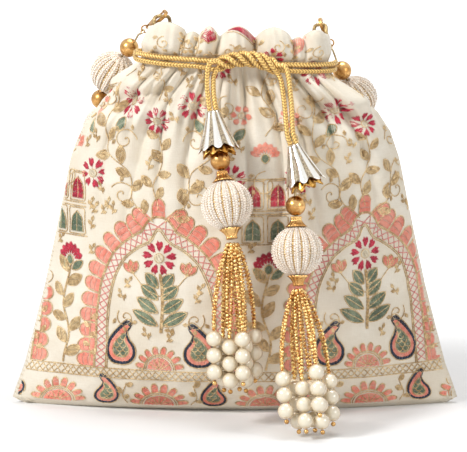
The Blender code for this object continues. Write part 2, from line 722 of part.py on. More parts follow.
def build_handle():
    """Bored balls and beads on a wire, hung from two thread loops by clasps and rings."""
    inner = LOOP_SPAN / 2 - LOOP_CENTRE_X - LOOP_HALF
    behind = behind_frill(FRILL_SHIFT - inner) - 0.6 * MM
    rim = RIM_HEIGHT - RIM_SLOPE * behind * 0.8
    pivots = []
    for sign in (-1, 1):
        spot = settled(LOOP_CENTRE_X + sign * LOOP_SPAN / 2, behind, rim)
        pivots.append(Vector((spot.x, behind, spot.z + LOOP_RISE)))
    axis = (pivots[1] - pivots[0]).normalized()
    middle = (pivots[0] + pivots[1]) / 2
    for name, crest, out in (("thread_loop_left", pivots[0], -1), ("thread_loop_right", pivots[1], 1)):
        build_loop(name, crest, axis, out)

    ball, gold = HANDLE_BALL_DIAMETER / 2, GOLD_BEAD_DIAMETER / 2
    pitch = ball + gold + BEAD_GAP
    low, high = 5 * MM, 300 * MM
    for _ in range(30):
        drop = (low + high) / 2
        line = handle_curve(drop)
        run = lengths(line)
        low, high = (drop, high) if run[-1] < 2 * HANDLE_BALLS * pitch else (low, drop)
    lowest = -min(point.z for point in line)

    lean = 0.3
    for _ in range(20):
        z = middle.z - lowest * math.cos(lean)
        behind = front(middle.x, z) + ball + REST_GAP - middle.y
        lean = math.asin(behind / lowest)
    lean += math.radians(0.4)

    across = axis
    up = Vector((0, -math.sin(lean), math.cos(lean)))
    up = (up - across * up.dot(across)).normalized()
    back = up.cross(across)
    frame = Matrix((across, back, up)).transposed().to_4x4()
    frame.translation = middle
    pivot = joint("handle_pivot", pivots[0])

    places = {}
    for label, sign, tilt in (("left", -1, LEFT_CLASP_TILT), ("right", 1, RIGHT_CLASP_TILT)):
        s_axis = Vector((-sign * math.sin(tilt), 0, math.cos(tilt)))
        q_axis = Vector((0, 1, 0))
        n_axis = q_axis.cross(s_axis)
        turn = Matrix((q_axis, s_axis, n_axis)).transposed().to_4x4()
        places[label] = frame @ Matrix.Translation((sign * LOOP_SPAN / 2, 0, 0)) @ turn
        build_clasp(label, places[label], pivot)
        build_ring(label, places[label], pivot)

    bead_bore = STRING_DIAMETER / 2 + BORE_CLEARANCE
    white = turned_mesh("ribbed_ball", ball_profile(ball, bead_bore, 5), 28)
    white = fluted(white, 14, 0.7 * MM, 2 * bead_bore)
    round_bead = turned_mesh("gold_bead", ball_profile(gold, bead_bore, 5), 10)
    wire = string_eye(places["left"])
    line = [line[0] * 2 - line[30]] + line + [line[-1] * 2 - line[-31]]
    run = lengths(line)
    before = (line[1] - line[0]).length - gold - BEAD_GAP / 2
    for i in range(2 * HANDLE_BALLS + 1):
        after = before + 2 * (ball if i % 2 else gold) + BEAD_GAP
        ends = [Vector([np.interp(at, run, row) for row in zip(*line)]) for at in (before, after)]
        ends = [frame @ end for end in ends]
        place = Matrix.Translation((ends[0] + ends[1]) / 2) @ along(ends[1] - ends[0])
        if i % 2:
            add(f"handle_ball_{i // 2 + 1}", white, BEADWORK, place, pivot)
        else:
            add(f"handle_bead_{i // 2 + 1}", round_bead, GOLD, place, pivot)
        wire.append(ends[0])
        before = after
    wire.append(ends[1])
    wire += string_eye(places["right"])[::-1]
    tube("handle_string", wire, STRING_DIAMETER, STRING, sides=1, pivot=pivot)


# Tassels


def build_tassel(label, ball_at, mouth_at, end, cone_tilt, bead_drop):
    """Cone, bead, cap, ribbed ball and cap on one string, with the bead strands below.

    Returns the place of the cone's top, where the cord's two ends are sewn in.
    """
    ball, bead = TASSEL_BALL_DIAMETER / 2, TASSEL_BEAD_DIAMETER / 2
    mouth_radius = CONE_MOUTH / 2
    centre = Vector((ball_at[0], -front(*ball_at) - ball - REST_GAP, ball_at[1]))
    mouth = Vector((mouth_at[0], -front(*mouth_at) - mouth_radius - 2 * REST_GAP, mouth_at[1]))
    upward = (mouth - centre).normalized()
    cap_top = ball + CAP_HEIGHT - 0.9 * MM
    bead_centre = cap_top + GAP + bead
    cone_top = bead_centre + bead + bead_drop + CONE_LENGTH
    apex = centre + upward * cone_top

    def on_axis(distance):
        return Matrix.Translation(centre + upward * distance) @ along(upward)

    string = TASSEL_STRING / 2
    bore = string + BORE_CLEARANCE
    tilt = Matrix.Rotation(-cone_tilt, 4, "Y")
    cone_place = Matrix.Translation(apex) @ tilt @ along(upward)
    top, wall = CONE_TOP / 2, CONE_CLOTH
    profile = [(0, 0), (top, 0), (mouth_radius, -CONE_LENGTH), (mouth_radius - wall, -CONE_LENGTH)]
    profile += [(top - 0.4 * wall, -wall), (0, -wall)]
    cone = fluted(turned_mesh("cone", profile, 24), 8, 0.9 * MM, top + 0.5 * MM)
    pivot = joint(f"tassel_pivot_{label}", cone_place @ Vector((0, 0, TASSEL_PIVOT)))
    add(f"tassel_cone_{label}", cone, FOIL, cone_place, pivot)

    gold = turned_mesh("tassel_bead", ball_profile(bead, bore, 6), 12)
    add(f"tassel_bead_{label}", gold, GOLD, on_axis(bead_centre), pivot)
    cap = turned_mesh("cap", cap_profile(bore), 12)
    add(f"upper_cap_{label}", cap, GOLD, on_axis(cap_top), pivot)
    flipped = Matrix.Rotation(math.pi, 4, "X")
    add(f"lower_cap_{label}", cap, GOLD, on_axis(-cap_top) @ flipped, pivot)
    white = turned_mesh("tassel_ball", ball_profile(ball, bore, 7), 32)
    add(f"tassel_ball_{label}", fluted(white, 16, 0.8 * MM, 2 * bore), BEADWORK, on_axis(0), pivot)
    line = [centre + upward * (cone_top - CONE_CLOTH - 2 * GAP), centre - upward * (cap_top + 0.1 * MM)]
    tube(f"tassel_string_{label}", line, TASSEL_STRING, STRING, sides=1, pivot=pivot)
    hinge = joint(f"fringe_pivot_{label}", centre - upward * cap_top, pivot)
    build_fringe(label, centre - upward * (cap_top + FRINGE_DROP), end, hinge)
    return cone_place


def cap_profile(bore):
    """A bell-shaped bead cap, its narrow end at the origin and its mouth below."""
    mouth, neck, wall = CAP_MOUTH / 2, CAP_NECK / 2, CAP_WALL
    outside = [(neck, 0), (neck + 0.45 * MM, -0.35 * CAP_HEIGHT), (mouth, -CAP_HEIGHT)]
    inside = [(mouth - wall, -CAP_HEIGHT), (neck - 0.05 * MM, -0.42 * CAP_HEIGHT), (bore, -0.3 * CAP_HEIGHT)]
    return outside + inside + [(bore, 0)]


def build_fringe(label, top, end, pivot):
    """Eight strands of gold seed beads with pearls and an end bead, spreading from the cap."""
    down = (end - top).normalized()
    side = Vector((1, 0, 0))
    side = (side - down * side.dot(down)).normalized()
    other = down.cross(side)
    for i in range(STRANDS):
        angle = 2 * math.pi * (i + 0.5) / STRANDS
        spread = PEARL_RINGS[label][i % 2]
        length = STRAND_LENGTHS[label][i % 2]
        outward = side * math.cos(angle) + other * math.sin(angle)
        foot = top + outward * spread
        tip = PEARLS * (PEARL_DIAMETER + GAP) + END_SEED
        length = min(length, (foot.z - 1.6 * MM) / -down.z - tip)
        points, radii = strand(top, down, outward, spread, length)
        tube(f"strand_{label}_{i + 1}", points, 2 * MM, STRAND, sides=1, radii=radii, pivot=pivot)


def strand(top, down, outward, spread, length):
    """Points and radii (in millimetres) of one strand: beaded thread, pearls and end bead."""
    start = STRAND_START
    thin, thick = 0.62, STRAND_DIAMETER / 2 / MM

    def spot(run):
        share = min(run / length, 1.0)
        swing = math.sin(share * math.pi / 2) ** FULLNESS
        return top + down * run + outward * (start + (spread - start) * swing)

    points, radii = [spot(0), spot(2.4 * MM)], [0.45, 0.5]
    groups = 3
    for k in range(groups):
        low = 5 * MM + (length - 5 * MM) * k / groups
        high = 5 * MM + (length - 5 * MM) * (k + 1) / groups
        points += [spot(low + 0.3 * MM), spot(high - 0.9 * MM)]
        radii += [0.7 * thick if k == 0 else thick, thick]
    points.append(spot(length))
    radii.append(thin)
    pearl = PEARL_DIAMETER / 2
    for k in range(PEARLS):
        centre = length + pearl + k * (2 * pearl + GAP)
        for angle in np.radians((-52, 0, 52)):
            points.append(spot(centre + pearl * math.sin(angle)))
            radii.append(pearl * math.cos(angle) / MM)
        points.append(spot(centre + pearl + GAP / 2))
        radii.append(thin)
    seed = length + PEARLS * (2 * pearl + GAP)
    points += [spot(seed + 0.4 * MM), spot(seed + END_SEED)]
    radii += [1.1, 1.1]
    return points, radii


build_pouch()
build_handle()
left_cone = build_tassel("left", LEFT_BALL, LEFT_MOUTH, LEFT_END, LEFT_CONE_TILT, LEFT_BEAD_DROP)
right_cone = build_tassel("right", RIGHT_BALL, RIGHT_MOUTH, RIGHT_END, RIGHT_CONE_TILT, RIGHT_BEAD_DROP)
QUARTER = math.pi / 4
drawstring("drawstring_left", -1, right_cone, (-QUARTER, QUARTER))
drawstring("drawstring_right", 1, left_cone, (5 * QUARTER, 3 * QUARTER))
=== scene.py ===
"""Dresses the potli bag: embroidered silk, braided cord, beaded handle and beaded tassels.

Metres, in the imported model's own frame: +X to the right, the front faces -Y, the base is on z = 0.
"""

import json
import math

import bmesh
import bpy
import numpy as np
from mathutils import Matrix, Vector

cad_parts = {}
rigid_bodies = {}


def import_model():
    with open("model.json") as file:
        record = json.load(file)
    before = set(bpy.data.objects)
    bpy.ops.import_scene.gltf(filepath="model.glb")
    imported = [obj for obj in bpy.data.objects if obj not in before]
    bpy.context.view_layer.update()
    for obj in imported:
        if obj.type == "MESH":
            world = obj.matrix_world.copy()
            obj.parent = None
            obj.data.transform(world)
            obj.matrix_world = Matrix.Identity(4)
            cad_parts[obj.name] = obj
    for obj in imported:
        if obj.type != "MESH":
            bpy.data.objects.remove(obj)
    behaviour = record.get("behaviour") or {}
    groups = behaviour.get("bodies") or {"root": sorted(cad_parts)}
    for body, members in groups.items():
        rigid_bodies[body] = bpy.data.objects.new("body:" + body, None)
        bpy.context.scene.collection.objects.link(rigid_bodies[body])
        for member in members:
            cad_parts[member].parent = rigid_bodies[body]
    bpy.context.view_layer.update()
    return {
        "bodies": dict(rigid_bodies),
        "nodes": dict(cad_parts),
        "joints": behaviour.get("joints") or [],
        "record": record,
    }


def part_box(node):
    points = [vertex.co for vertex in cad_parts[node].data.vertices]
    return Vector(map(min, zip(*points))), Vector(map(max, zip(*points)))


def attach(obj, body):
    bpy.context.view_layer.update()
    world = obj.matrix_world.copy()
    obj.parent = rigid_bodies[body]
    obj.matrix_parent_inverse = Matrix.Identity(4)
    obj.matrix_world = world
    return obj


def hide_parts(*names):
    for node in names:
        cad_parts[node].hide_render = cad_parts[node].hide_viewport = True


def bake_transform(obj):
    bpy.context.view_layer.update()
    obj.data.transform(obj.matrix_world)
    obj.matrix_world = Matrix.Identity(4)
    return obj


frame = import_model()
MM = 0.001


# Studio
# A white sweep under soft lamps, seen by a long lens a little above the bag, as in a shop's
# photograph. The floor turns white for the camera, and keeps the soft shadow.


class Node:
    """A node's output that works in sums; its node method adds any other node."""

    def __init__(self, tree, output=None):
        self.tree = tree
        self.output = output

    def node(self, kind, settings=None, inputs=None, output=0):
        made = self.tree.nodes.new(kind)
        for name, value in (settings or {}).items():
            setattr(made, name, value)
        for name, value in (inputs or {}).items():
            if isinstance(value, Node):
                self.tree.links.new(value.output, made.inputs[name])
            else:
                made.inputs[name].default_value = value
        return Node(self.tree, made.outputs[output])

    def maths(self, operation, *others):
        return self.node("ShaderNodeMath", {"operation": operation}, dict(enumerate((self, *others))))

    def __add__(self, other):
        return self.maths("ADD", other)

    def __sub__(self, other):
        return self.maths("SUBTRACT", other)

    def __rsub__(self, other):
        return self.node("ShaderNodeMath", {"operation": "SUBTRACT"}, {0: other, 1: self})

    def __mul__(self, other):
        return self.maths("MULTIPLY", other)

    __radd__ = __add__
    __rmul__ = __mul__

    def between(self, low, high):
        """0 below low, 1 above high, and smooth between."""
        settings = {"interpolation_type": "SMOOTHSTEP"}
        return self.node("ShaderNodeMapRange", settings, {"Value": self, 1: low, 2: high})

    def colours(self, first, second):
        """The first colour where this is 0 and the second where it is 1."""
        return self.node("ShaderNodeMix", {"data_type": "RGBA"}, {0: self, 6: first, 7: second}, 2)

    def noise(self, scale, detail):
        """Noise in the object's own space."""
        place = self.node("ShaderNodeTexCoord", output=3)
        return self.node("ShaderNodeTexNoise", inputs={"Vector": place, "Scale": scale, "Detail": detail})

    def feed(self, name):
        """Links this to a socket of the material's main shader."""
        self.tree.links.new(self.output, self.tree.nodes["Principled BSDF"].inputs[name])

    def bump(self, strength, distance):
        """Raises the main shader's surface by this height."""
        inputs = {"Height": self, "Strength": strength, "Distance": distance}
        self.node("ShaderNodeBump", inputs=inputs).feed("Normal")


def colour(red, green, blue):
    """A colour given as a screen shows it, from 0 to 255."""
    values = (v / 255 for v in (red, green, blue))
    return (*(v / 12.92 if v < 0.04 else ((v + 0.055) / 1.055) ** 2.4 for v in values), 1.0)


def finish(name, **constants):
    """A new material, whose main shader's own sockets hold what is the same all over."""
    made = bpy.data.materials.new(name)
    made.use_nodes = True
    shader = made.node_tree.nodes["Principled BSDF"]
    for socket, value in constants.items():
        shader.inputs[socket.replace("_", " ")].default_value = value
    return made, Node(made.node_tree)


def add(name, data, *materials):
    """A new object in the scene, with its materials."""
    obj = bpy.data.objects.new(name, data)
    bpy.context.scene.collection.objects.link(obj)
    for material in materials:
        data.materials.append(material)
    return obj


def new_mesh(name, points, faces=()):
    mesh = bpy.data.meshes.new(name)
    mesh.from_pydata([tuple(p) for p in points], [], faces)
    return mesh


def emptied(owner):
    """The start of a material's or world's nodes, with none in it yet."""
    owner.use_nodes = True
    owner.node_tree.nodes.clear()
    return Node(owner.node_tree)


def surface(shader, kind):
    """Ends a material's or world's nodes in a shader."""
    end = shader.tree.nodes.new(kind)
    shader.tree.links.new(shader.output, end.inputs["Surface"])


def seen_by_camera(start):
    """1 on the camera's own rays, also in a shine or through something clear, and 0 elsewhere."""
    rays = [start.node("ShaderNodeLightPath", output=k) for k in (0, 3, 6)]
    return (rays[0] + rays[1] + rays[2]).maths("MINIMUM", 1.0)


def build_floor():
    """A white sweep that glows for the camera, less so under the bag, where the shadow lies."""
    made = bpy.data.materials.new("white_sweep")
    start = emptied(made)
    place = start.node("ShaderNodeTexCoord", output=3)
    away = place.node("ShaderNodeVectorMath", {"operation": "LENGTH"}, {0: place}, output=1)
    strength = seen_by_camera(start) * (away.between(0.1, 0.55) * 0.74 + 0.05)
    paper = start.node("ShaderNodeBsdfDiffuse", inputs={"Color": (0.86, 0.86, 0.86, 1)})
    glow = start.node("ShaderNodeEmission", inputs={"Strength": strength})
    surface(start.node("ShaderNodeAddShader", inputs={0: paper, 1: glow}), "ShaderNodeOutputMaterial")
    size = 6.0
    corners = [(-size, -size, 0), (size, -size, 0), (size, size, 0), (-size, size, 0)]
    add("sweep", new_mesh("sweep", corners, [(0, 1, 2, 3)]), made)


def build_world():
    """A dim room for the bag, and plain white behind it for the camera."""
    world = bpy.data.worlds.new("studio")
    bpy.context.scene.world = world
    start = emptied(world)
    room, white = (
        start.node("ShaderNodeBackground", inputs={"Color": (1, 1, 1, 1), "Strength": strength})
        for strength in (ROOM_LIGHT, BACKDROP_LIGHT)
    )
    inputs = {0: seen_by_camera(start), 1: room, 2: white}
    surface(start.node("ShaderNodeMixShader", inputs=inputs), "ShaderNodeOutputWorld")


def softbox(name, place, target, width, power):
    lamp = bpy.data.lights.new(name, "AREA")
    lamp.shape = "RECTANGLE"
    lamp.size = lamp.size_y = width
    lamp.energy = power
    holder = add(name, lamp)
    holder.location = place
    holder.rotation_euler = (Vector(target) - Vector(place)).to_track_quat("-Z", "Y").to_euler()


PHOTO_WIDTH = 467
PIXEL = 0.5 * MM
SENSOR_WIDTH = 36
ROOM_LIGHT = 0.28
BACKDROP_LIGHT = 1.05
DISTANCE = 4.0
ELEVATION = math.radians(10)
AIM = Vector((-0.75 * MM, 0, 89.8 * MM))

build_floor()
build_world()
softbox("key_softbox", (-1.0, -0.75, 1.05), (0, 0, 0.08), 0.4, 17.0)
softbox("fill_softbox", (0.95, -0.75, 0.55), (0, 0, 0.08), 0.4, 3.4)
softbox("top_softbox", (0.1, 0.25, 1.2), (0, 0, 0.1), 0.6, 7.0)

lens = bpy.data.cameras.new("camera")
lens.sensor_width = SENSOR_WIDTH
lens.lens = SENSOR_WIDTH * DISTANCE / (PHOTO_WIDTH * PIXEL)
lens.clip_end = 20
camera = add("camera", lens)
camera.location = AIM + DISTANCE * Vector((0, -math.cos(ELEVATION), math.sin(ELEVATION)))
camera.rotation_euler = (AIM - camera.location).to_track_quat("-Z", "Y").to_euler()
bpy.context.scene.camera = camera
bpy.context.scene.view_settings.view_transform = "Standard"


# Outer bag
# Two panels of ivory silk, sewn at the sides and the bottom, gathered on the drawstrings and
# open in a frill above them. The folds run down from the gathers and die out on the belly.

BASE_WIDTH = 223 * MM
BELLY_DEPTH = 84 * MM
NECK_WIDTH = 92 * MM
NECK_DEPTH = 30 * MM
NECK_HEIGHT = 174 * MM
FRILL_HEIGHT = 16 * MM
FRILL_WIDTH = 90 * MM
FRILL_DEPTH = 31 * MM
FRILL_SHIFT = 2 * MM
NECK_TILT = 0.055
CLOTH = 0.9 * MM
COLUMNS = 336
# Height, width and depth as shares of the way from the neck to the base and belly, then the
# section's roundness and the sharpness of its side seams
PROFILE = (
    (0.000, 0.916, 0.185, 2.0, 1.00),
    (0.017, 1.000, 0.407, 2.0, 1.00),
    (0.052, 0.970, 0.630, 2.0, 1.00),
    (0.115, 0.908, 0.815, 2.0, 0.98),
    (0.213, 0.840, 0.944, 2.0, 0.95),
    (0.351, 0.748, 1.000, 2.0, 0.90),
    (0.489, 0.672, 0.944, 2.1, 0.84),
    (0.615, 0.603, 0.796, 2.2, 0.77),
    (0.718, 0.550, 0.610, 2.4, 0.70),
    (0.805, 0.481, 0.426, 2.7, 0.62),
    (0.868, 0.382, 0.278, 3.1, 0.56),
    (0.917, 0.230, 0.140, 3.5, 0.52),
    (0.950, 0.095, 0.055, 3.8, 0.50),
    (0.972, 0.010, 0.006, 4.0, 0.50),
    (1.000, 0.000, 0.000, 4.0, 0.50),
)
# Where folds meet, across the gathered neck, and how deep each fold between them is
FRILL_EDGES = np.array((-47, -27, -20, -9.5, 8.5, 27.5, 33, 47)) * MM
FRILL_FOLDS = np.array((5.5, 2.0, 5.0, 6.0, 6.0, 2.2, 5.5)) * MM
FRILL_POINTS = np.array((0.45, 1.0, 1.5, 1.25, 0.8, 1.0, 0.45))
FRONT_EDGES = np.array((-47, -38, -29, -22.5, -13, -5.5, 4, 13, 21, 29, 38, 47)) * MM
FRONT_FOLDS = np.array((3.2, 4.6, 3.4, 4.4, 2.4, 4.0, 3.0, 4.6, 3.0, 4.6, 3.4)) * MM
BACK_EDGES = np.array((-47, -36, -26, -17, -6, 3, 14, 22, 33, 47)) * MM
BACK_FOLDS = np.array((3.4, 4.4, 3.2, 4.6, 3.0, 4.4, 3.4, 4.6, 3.2)) * MM
# Soft folds over the belly: from and to, across and up, then width and height
DRAG_FOLDS = (
    (-31, 167, -56, 159, 4.5, 4.6),
    (-36, 159, -67, 150, 3.0, -4.6),
    (-32, 153, -67, 141, 6.0, 4.6),
    (-58, 138, -84, 80, 8, 1.5),
    (-72, 118, -99, 46, 7, -1.2),
    (-30, 130, -52, 70, 9, 1.1),
    (22, 150, 44, 92, 8, 1.4),
    (35, 168, 65, 156, 6, 7.5),
    (33, 158, 64, 147, 3.2, -5.4),
    (30, 150, 60, 137, 6.0, 3.6),
    (54, 138, 74, 84, 8, -1.4),
    (66, 126, 92, 60, 8, 1.4),
    (8, 118, 14, 62, 10, 0.8),
    (-96, 34, -62, 22, 7, 1.0),
    (96, 36, 60, 20, 7, 1.1),
    (-20, 40, 30, 30, 9, 0.7),
)


def smoothstep(value, low, high):
    share = np.clip((value - low) / (high - low), 0.0, 1.0)
    return share * share * (3 - 2 * share)


def bag_size(z):
    """Half width, half depth, roundness and seam sharpness of the pouch at a height."""
    share = z / NECK_HEIGHT
    if share <= 1:
        columns = np.array(PROFILE).T
        wide, deep, power, edge = (np.interp(share, columns[0], row) for row in columns[1:])
        half_width = (NECK_WIDTH + (BASE_WIDTH - NECK_WIDTH) * wide) / 2
        half_depth = (NECK_DEPTH + (BELLY_DEPTH - NECK_DEPTH) * deep) / 2
        return half_width, half_depth, power, edge
    rise = (z - NECK_HEIGHT) / FRILL_HEIGHT
    wide, deep = NECK_WIDTH / 2, NECK_DEPTH / 2
    half_width = np.interp(rise, (0, 0.4, 1), (wide, wide + 1.5 * MM, FRILL_WIDTH / 2))
    half_depth = np.interp(rise, (0, 0.4, 1), (deep, deep + 1 * MM, FRILL_DEPTH / 2))
    return half_width, half_depth, 4.0, 0.5


def section(z):
    """The pouch's outline at a height, evenly spaced and anticlockwise from the right seam."""
    half_width, half_depth, power, edge = bag_size(z)
    x = half_width * np.cos(np.linspace(0, math.pi / 2, 500)) ** (2 / power)
    y = half_depth * np.clip(1 - (x / half_width) ** power, 0, 1) ** edge
    run = np.concatenate([[0], np.cumsum(np.hypot(np.diff(x), np.diff(y)))])
    steps = np.linspace(0, run[-1], COLUMNS // 4 + 1)
    x, y = np.interp(steps, run, x), np.interp(steps, run, y)
    xs = np.concatenate([x, -x[-2::-1], -x[1:], x[-2:0:-1]])
    ys = np.concatenate([y, y[-2::-1], -y[1:], -y[-2:0:-1]])
    return np.stack([xs, ys], 1), run[-1]


def run_along(points):
    """How far along a line each of its points is."""
    return np.concatenate([[0], np.cumsum(np.linalg.norm(np.diff(points, axis=0), axis=1))])


def gathers(across, edges, depths, points=None):
    """Rounded folds that meet in narrow valleys, from 0 in a valley to its depth on a crest.

    With points, each fold has its own form: 0.5 is round and above 1 comes to a point.
    """
    k = np.clip(np.searchsorted(edges, across, side="right") - 1, 0, len(depths) - 1)
    share = np.clip(2 * (across - edges[k]) / (edges[k + 1] - edges[k]) - 1, -1, 1)
    return depths[k] * (1 - share**2) ** (0.62 if points is None else points[k])


def drag(x, z, fold):
    """One long soft fold: a rounded ridge between two points, fading at both ends."""
    x0, z0, x1, z1, width, height = (value * MM for value in fold)
    length = math.hypot(x1 - x0, z1 - z0)
    ux, uz = (x1 - x0) / length, (z1 - z0) / length
    run = ((x - x0) * ux + (z - z0) * uz) / length
    off = (x - x0) * -uz + (z - z0) * ux
    ends = smoothstep(run, -0.25, 0.2) * (1 - smoothstep(run, 0.75, 1.25))
    return height * ends * np.exp(-((off / width) ** 2))


def fold_depth(x, z, neck_x, front):
    """How far the cloth stands out of the smooth pouch at a point.

    The body's folds run down from the gathers and fade, the frill's own open above them, and
    the drag folds and a small ripple lie over the belly.
    """
    edges, depths = (FRONT_EDGES, FRONT_FOLDS) if front else (BACK_EDGES, BACK_FOLDS)
    waver = 1.2 * MM * np.sin(neck_x / MM * 0.31 + z / MM * 0.05)
    body = gathers(neck_x + waver * smoothstep(z, 172 * MM, 150 * MM), edges, depths)
    body = body - 0.86 * np.interp(neck_x, (edges[:-1] + edges[1:]) / 2, depths)
    fade = 0.35 + 0.65 * smoothstep(z, 176 * MM, 164 * MM)
    reach = 88 * MM + 18 * MM * np.sin(neck_x / MM * 0.7 + 1.0)
    body = 1.55 * body * fade * smoothstep(z, reach, 156 * MM)
    frill = gathers(neck_x, FRILL_EDGES, FRILL_FOLDS)
    frill = frill - 0.7 * np.interp(neck_x, (FRILL_EDGES[:-1] + FRILL_EDGES[1:]) / 2, FRILL_FOLDS)
    opened = smoothstep(z, 174.5 * MM, 180 * MM)
    ends = 1 - 0.8 * smoothstep(np.abs(neck_x), 38 * MM, 46 * MM)
    rise = np.clip((z - NECK_HEIGHT) / FRILL_HEIGHT, 0, 1)
    puffed = 1.5 * MM * np.sin(math.pi * rise**0.8) if front else 0.0
    puffed = puffed + 0.45 * MM * np.sin(neck_x / MM * 1.3 + 5 * rise) * np.sin(neck_x / MM * 0.37 + 1.4)
    curled = 3.2 * MM * (1 - np.sqrt(1 - np.clip((rise - 0.76) / 0.25, 0, 1) ** 2))
    fine = 0.9 * MM * np.sin(neck_x / MM * 1.5 + 0.9 * np.sin(neck_x / MM * 0.4) + z / MM * 0.03)
    body = body + fine * smoothstep(z, 122 * MM, 162 * MM) * fade
    total = body * (1 - opened) + ((1.2 if front else 0.6) * frill + puffed) * opened * ends - curled
    side = 1 if front else -1
    for fold in DRAG_FOLDS:
        total = total + drag(x * side, z, fold)
    low = smoothstep(z, 150 * MM, 100 * MM)
    ripple = np.sin(x / MM * 0.21 + z / MM * 0.11 + 1.3 * side) * np.sin(z / MM * 0.16 - x / MM * 0.05)
    ripple = ripple + 0.6 * np.sin(x / MM * 0.47 - z / MM * 0.23) * np.sin(z / MM * 0.31 + x / MM * 0.13)
    return total + 0.45 * MM * ripple * low * smoothstep(z, 0, 14 * MM)


def settled(x, y, z):
    """A point of the upright pouch after its neck has leaned down to the right."""
    lean = smoothstep(z, 0.66 * NECK_HEIGHT, 0.96 * NECK_HEIGHT)
    slid = FRILL_SHIFT * smoothstep(z, NECK_HEIGHT, NECK_HEIGHT + FRILL_HEIGHT)
    drooped = 5 * MM * np.exp(-(((z - 152 * MM) / (15 * MM)) ** 2)) * smoothstep(-x, 30 * MM, 68 * MM)
    return x + slid + drooped, y, z - NECK_TILT * x * lean


def bag_row(z, inset=0.0, folded=1.0):
    """One row of the pouch's points, its folds laid in, moved inwards by the inset."""
    outline, quarter = section(z)
    neck_x = section(NECK_HEIGHT)[0][:, 0]
    x, y = outline.T
    tangent = np.roll(outline, -1, 0) - np.roll(outline, 1, 0)
    out = np.stack([tangent[:, 1], -tangent[:, 0]], 1)
    out = out / np.linalg.norm(out, axis=1)[:, None]
    out[0] = (1, 0)
    out[COLUMNS // 2] = (-1, 0)
    deep = np.where(y <= 0, fold_depth(x, z, neck_x, True), fold_depth(x, z, neck_x, False))
    seam = smoothstep(np.abs(y), 0.3 * MM, 5 * MM)
    deep = folded * deep * seam - inset
    height = np.full(COLUMNS, z)
    if z > NECK_HEIGHT:
        rise = (z - NECK_HEIGHT) / FRILL_HEIGHT
        crest = gathers(neck_x, FRILL_EDGES, FRILL_FOLDS, FRILL_POINTS)
        height = height + rise * (1.1 * crest * folded - 4.3 * MM - np.where(y < 0, 0.08, 0.2) * y)
    moved = settled(x + out[:, 0] * deep, y + out[:, 1] * deep, height)
    return np.stack(np.broadcast_arrays(*moved), 1), quarter


def bag_heights(low, high):
    """Heights of the rows: close together at the bottom's turn and near the gathers."""
    marks = np.array((0, 3, 9, 30, 120, 150, 184, 188)) * MM
    steps = np.array((0.75, 0.75, 1.5, 1.9, 1.6, 1.1, 0.9, 0.45)) * MM
    heights = [low]
    while heights[-1] < high:
        heights.append(heights[-1] + float(np.interp(heights[-1], marks, steps)))
    return np.array(heights[:-1] + [high])


heights = bag_heights(0.0, NECK_HEIGHT + FRILL_HEIGHT)
rows = [bag_row(z) for z in heights]
cloth_points = np.array([row[0] for row in rows])
quarters = np.array([row[1] for row in rows])


def shell(name, points, thickness, *materials):
    """A cup of rows of points with a flat floor, given the thickness of its cloth inwards."""
    count = points.shape[1]
    bm = bmesh.new()
    lines = [[bm.verts.new(point) for point in row] for row in points]
    panel = bm.loops.layers.uv.new("panel")
    for i, (low, high) in enumerate(zip(lines, lines[1:])):
        for k in range(count):
            after = (k + 1) % count
            face = bm.faces.new((low[k], low[after], high[after], high[k]))
            for loop, (row, column) in zip(face.loops, ((i, k), (i, k + 1), (i + 1, k + 1), (i + 1, k))):
                loop[panel].uv = (column / count, row / len(points))
    hub = bm.verts.new(np.mean(points[0], axis=0))
    for k in range(count):
        bm.faces.new((hub, lines[0][(k + 1) % count], lines[0][k]))
    mesh = bpy.data.meshes.new(name)
    bm.to_mesh(mesh)
    bm.free()
    mesh.shade_smooth()
    obj = add(name, mesh, *materials)
    wall = obj.modifiers.new("cloth", "SOLIDIFY")
    wall.thickness = thickness
    wall.offset = -1
    wall.use_even_offset = False
    if len(materials) > 1:
        wall.material_offset = 1
        wall.material_offset_rim = 0
    return baked(obj)


def baked(obj):
    """The object with its modifiers worked into its own mesh."""
    graph = bpy.context.evaluated_depsgraph_get()
    graph.update()
    mesh = bpy.data.meshes.new_from_object(obj.evaluated_get(graph))
    plain = obj.data
    obj.modifiers.clear()
    obj.data = mesh
    bpy.data.meshes.remove(plain)
    return obj


def silk_finish(name, ivory, shadow, roughness):
    """Plain-woven silk: slubs in two directions, and a slow drift of its colour."""
    silk, start = finish(name, Roughness=roughness, Sheen_Weight=0.25, Sheen_Roughness=0.4)
    place = start.node("ShaderNodeTexCoord", output=3)
    drift = start.noise(55, 4)
    slub = []
    for scale in ((260, 260, 2600), (2600, 2600, 300)):
        drawn_out = start.node("ShaderNodeMapping", inputs={"Vector": place, "Scale": scale})
        inputs = {"Vector": drawn_out, "Scale": 1, "Detail": 2}
        slub.append(start.node("ShaderNodeTexNoise", inputs=inputs))
    weave = slub[0] * 0.5 + slub[1] * 0.5
    tone = (drift.between(0.35, 0.7) * 0.7) + (weave.between(0.35, 0.65) * 0.3)
    tone.colours(shadow, ivory).feed("Base Color")
    weave.bump(0.35, 0.0004)
    return silk


ivory_silk = silk_finish("ivory_silk", colour(243, 235, 219), colour(229, 217, 196), 0.55)
cream_cotton = silk_finish("cream_lining", colour(240, 231, 212), colour(226, 214, 190), 0.7)
outer_bag = shell("silk_bag", cloth_points, CLOTH, ivory_silk, cream_cotton)
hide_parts("outer_bag")
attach(outer_bag, "pouch")


# Seams
# The panels meet at the sides in a narrow turned seam, overcast with ivory thread that pulls
# the cloth into small puckers. Each stitch lies over the seam.

STITCH_MESH = {"Sides": 4, "Rings": 3}
SEAM_PITCH = 2.4 * MM
SEAM_TOP = 168 * MM


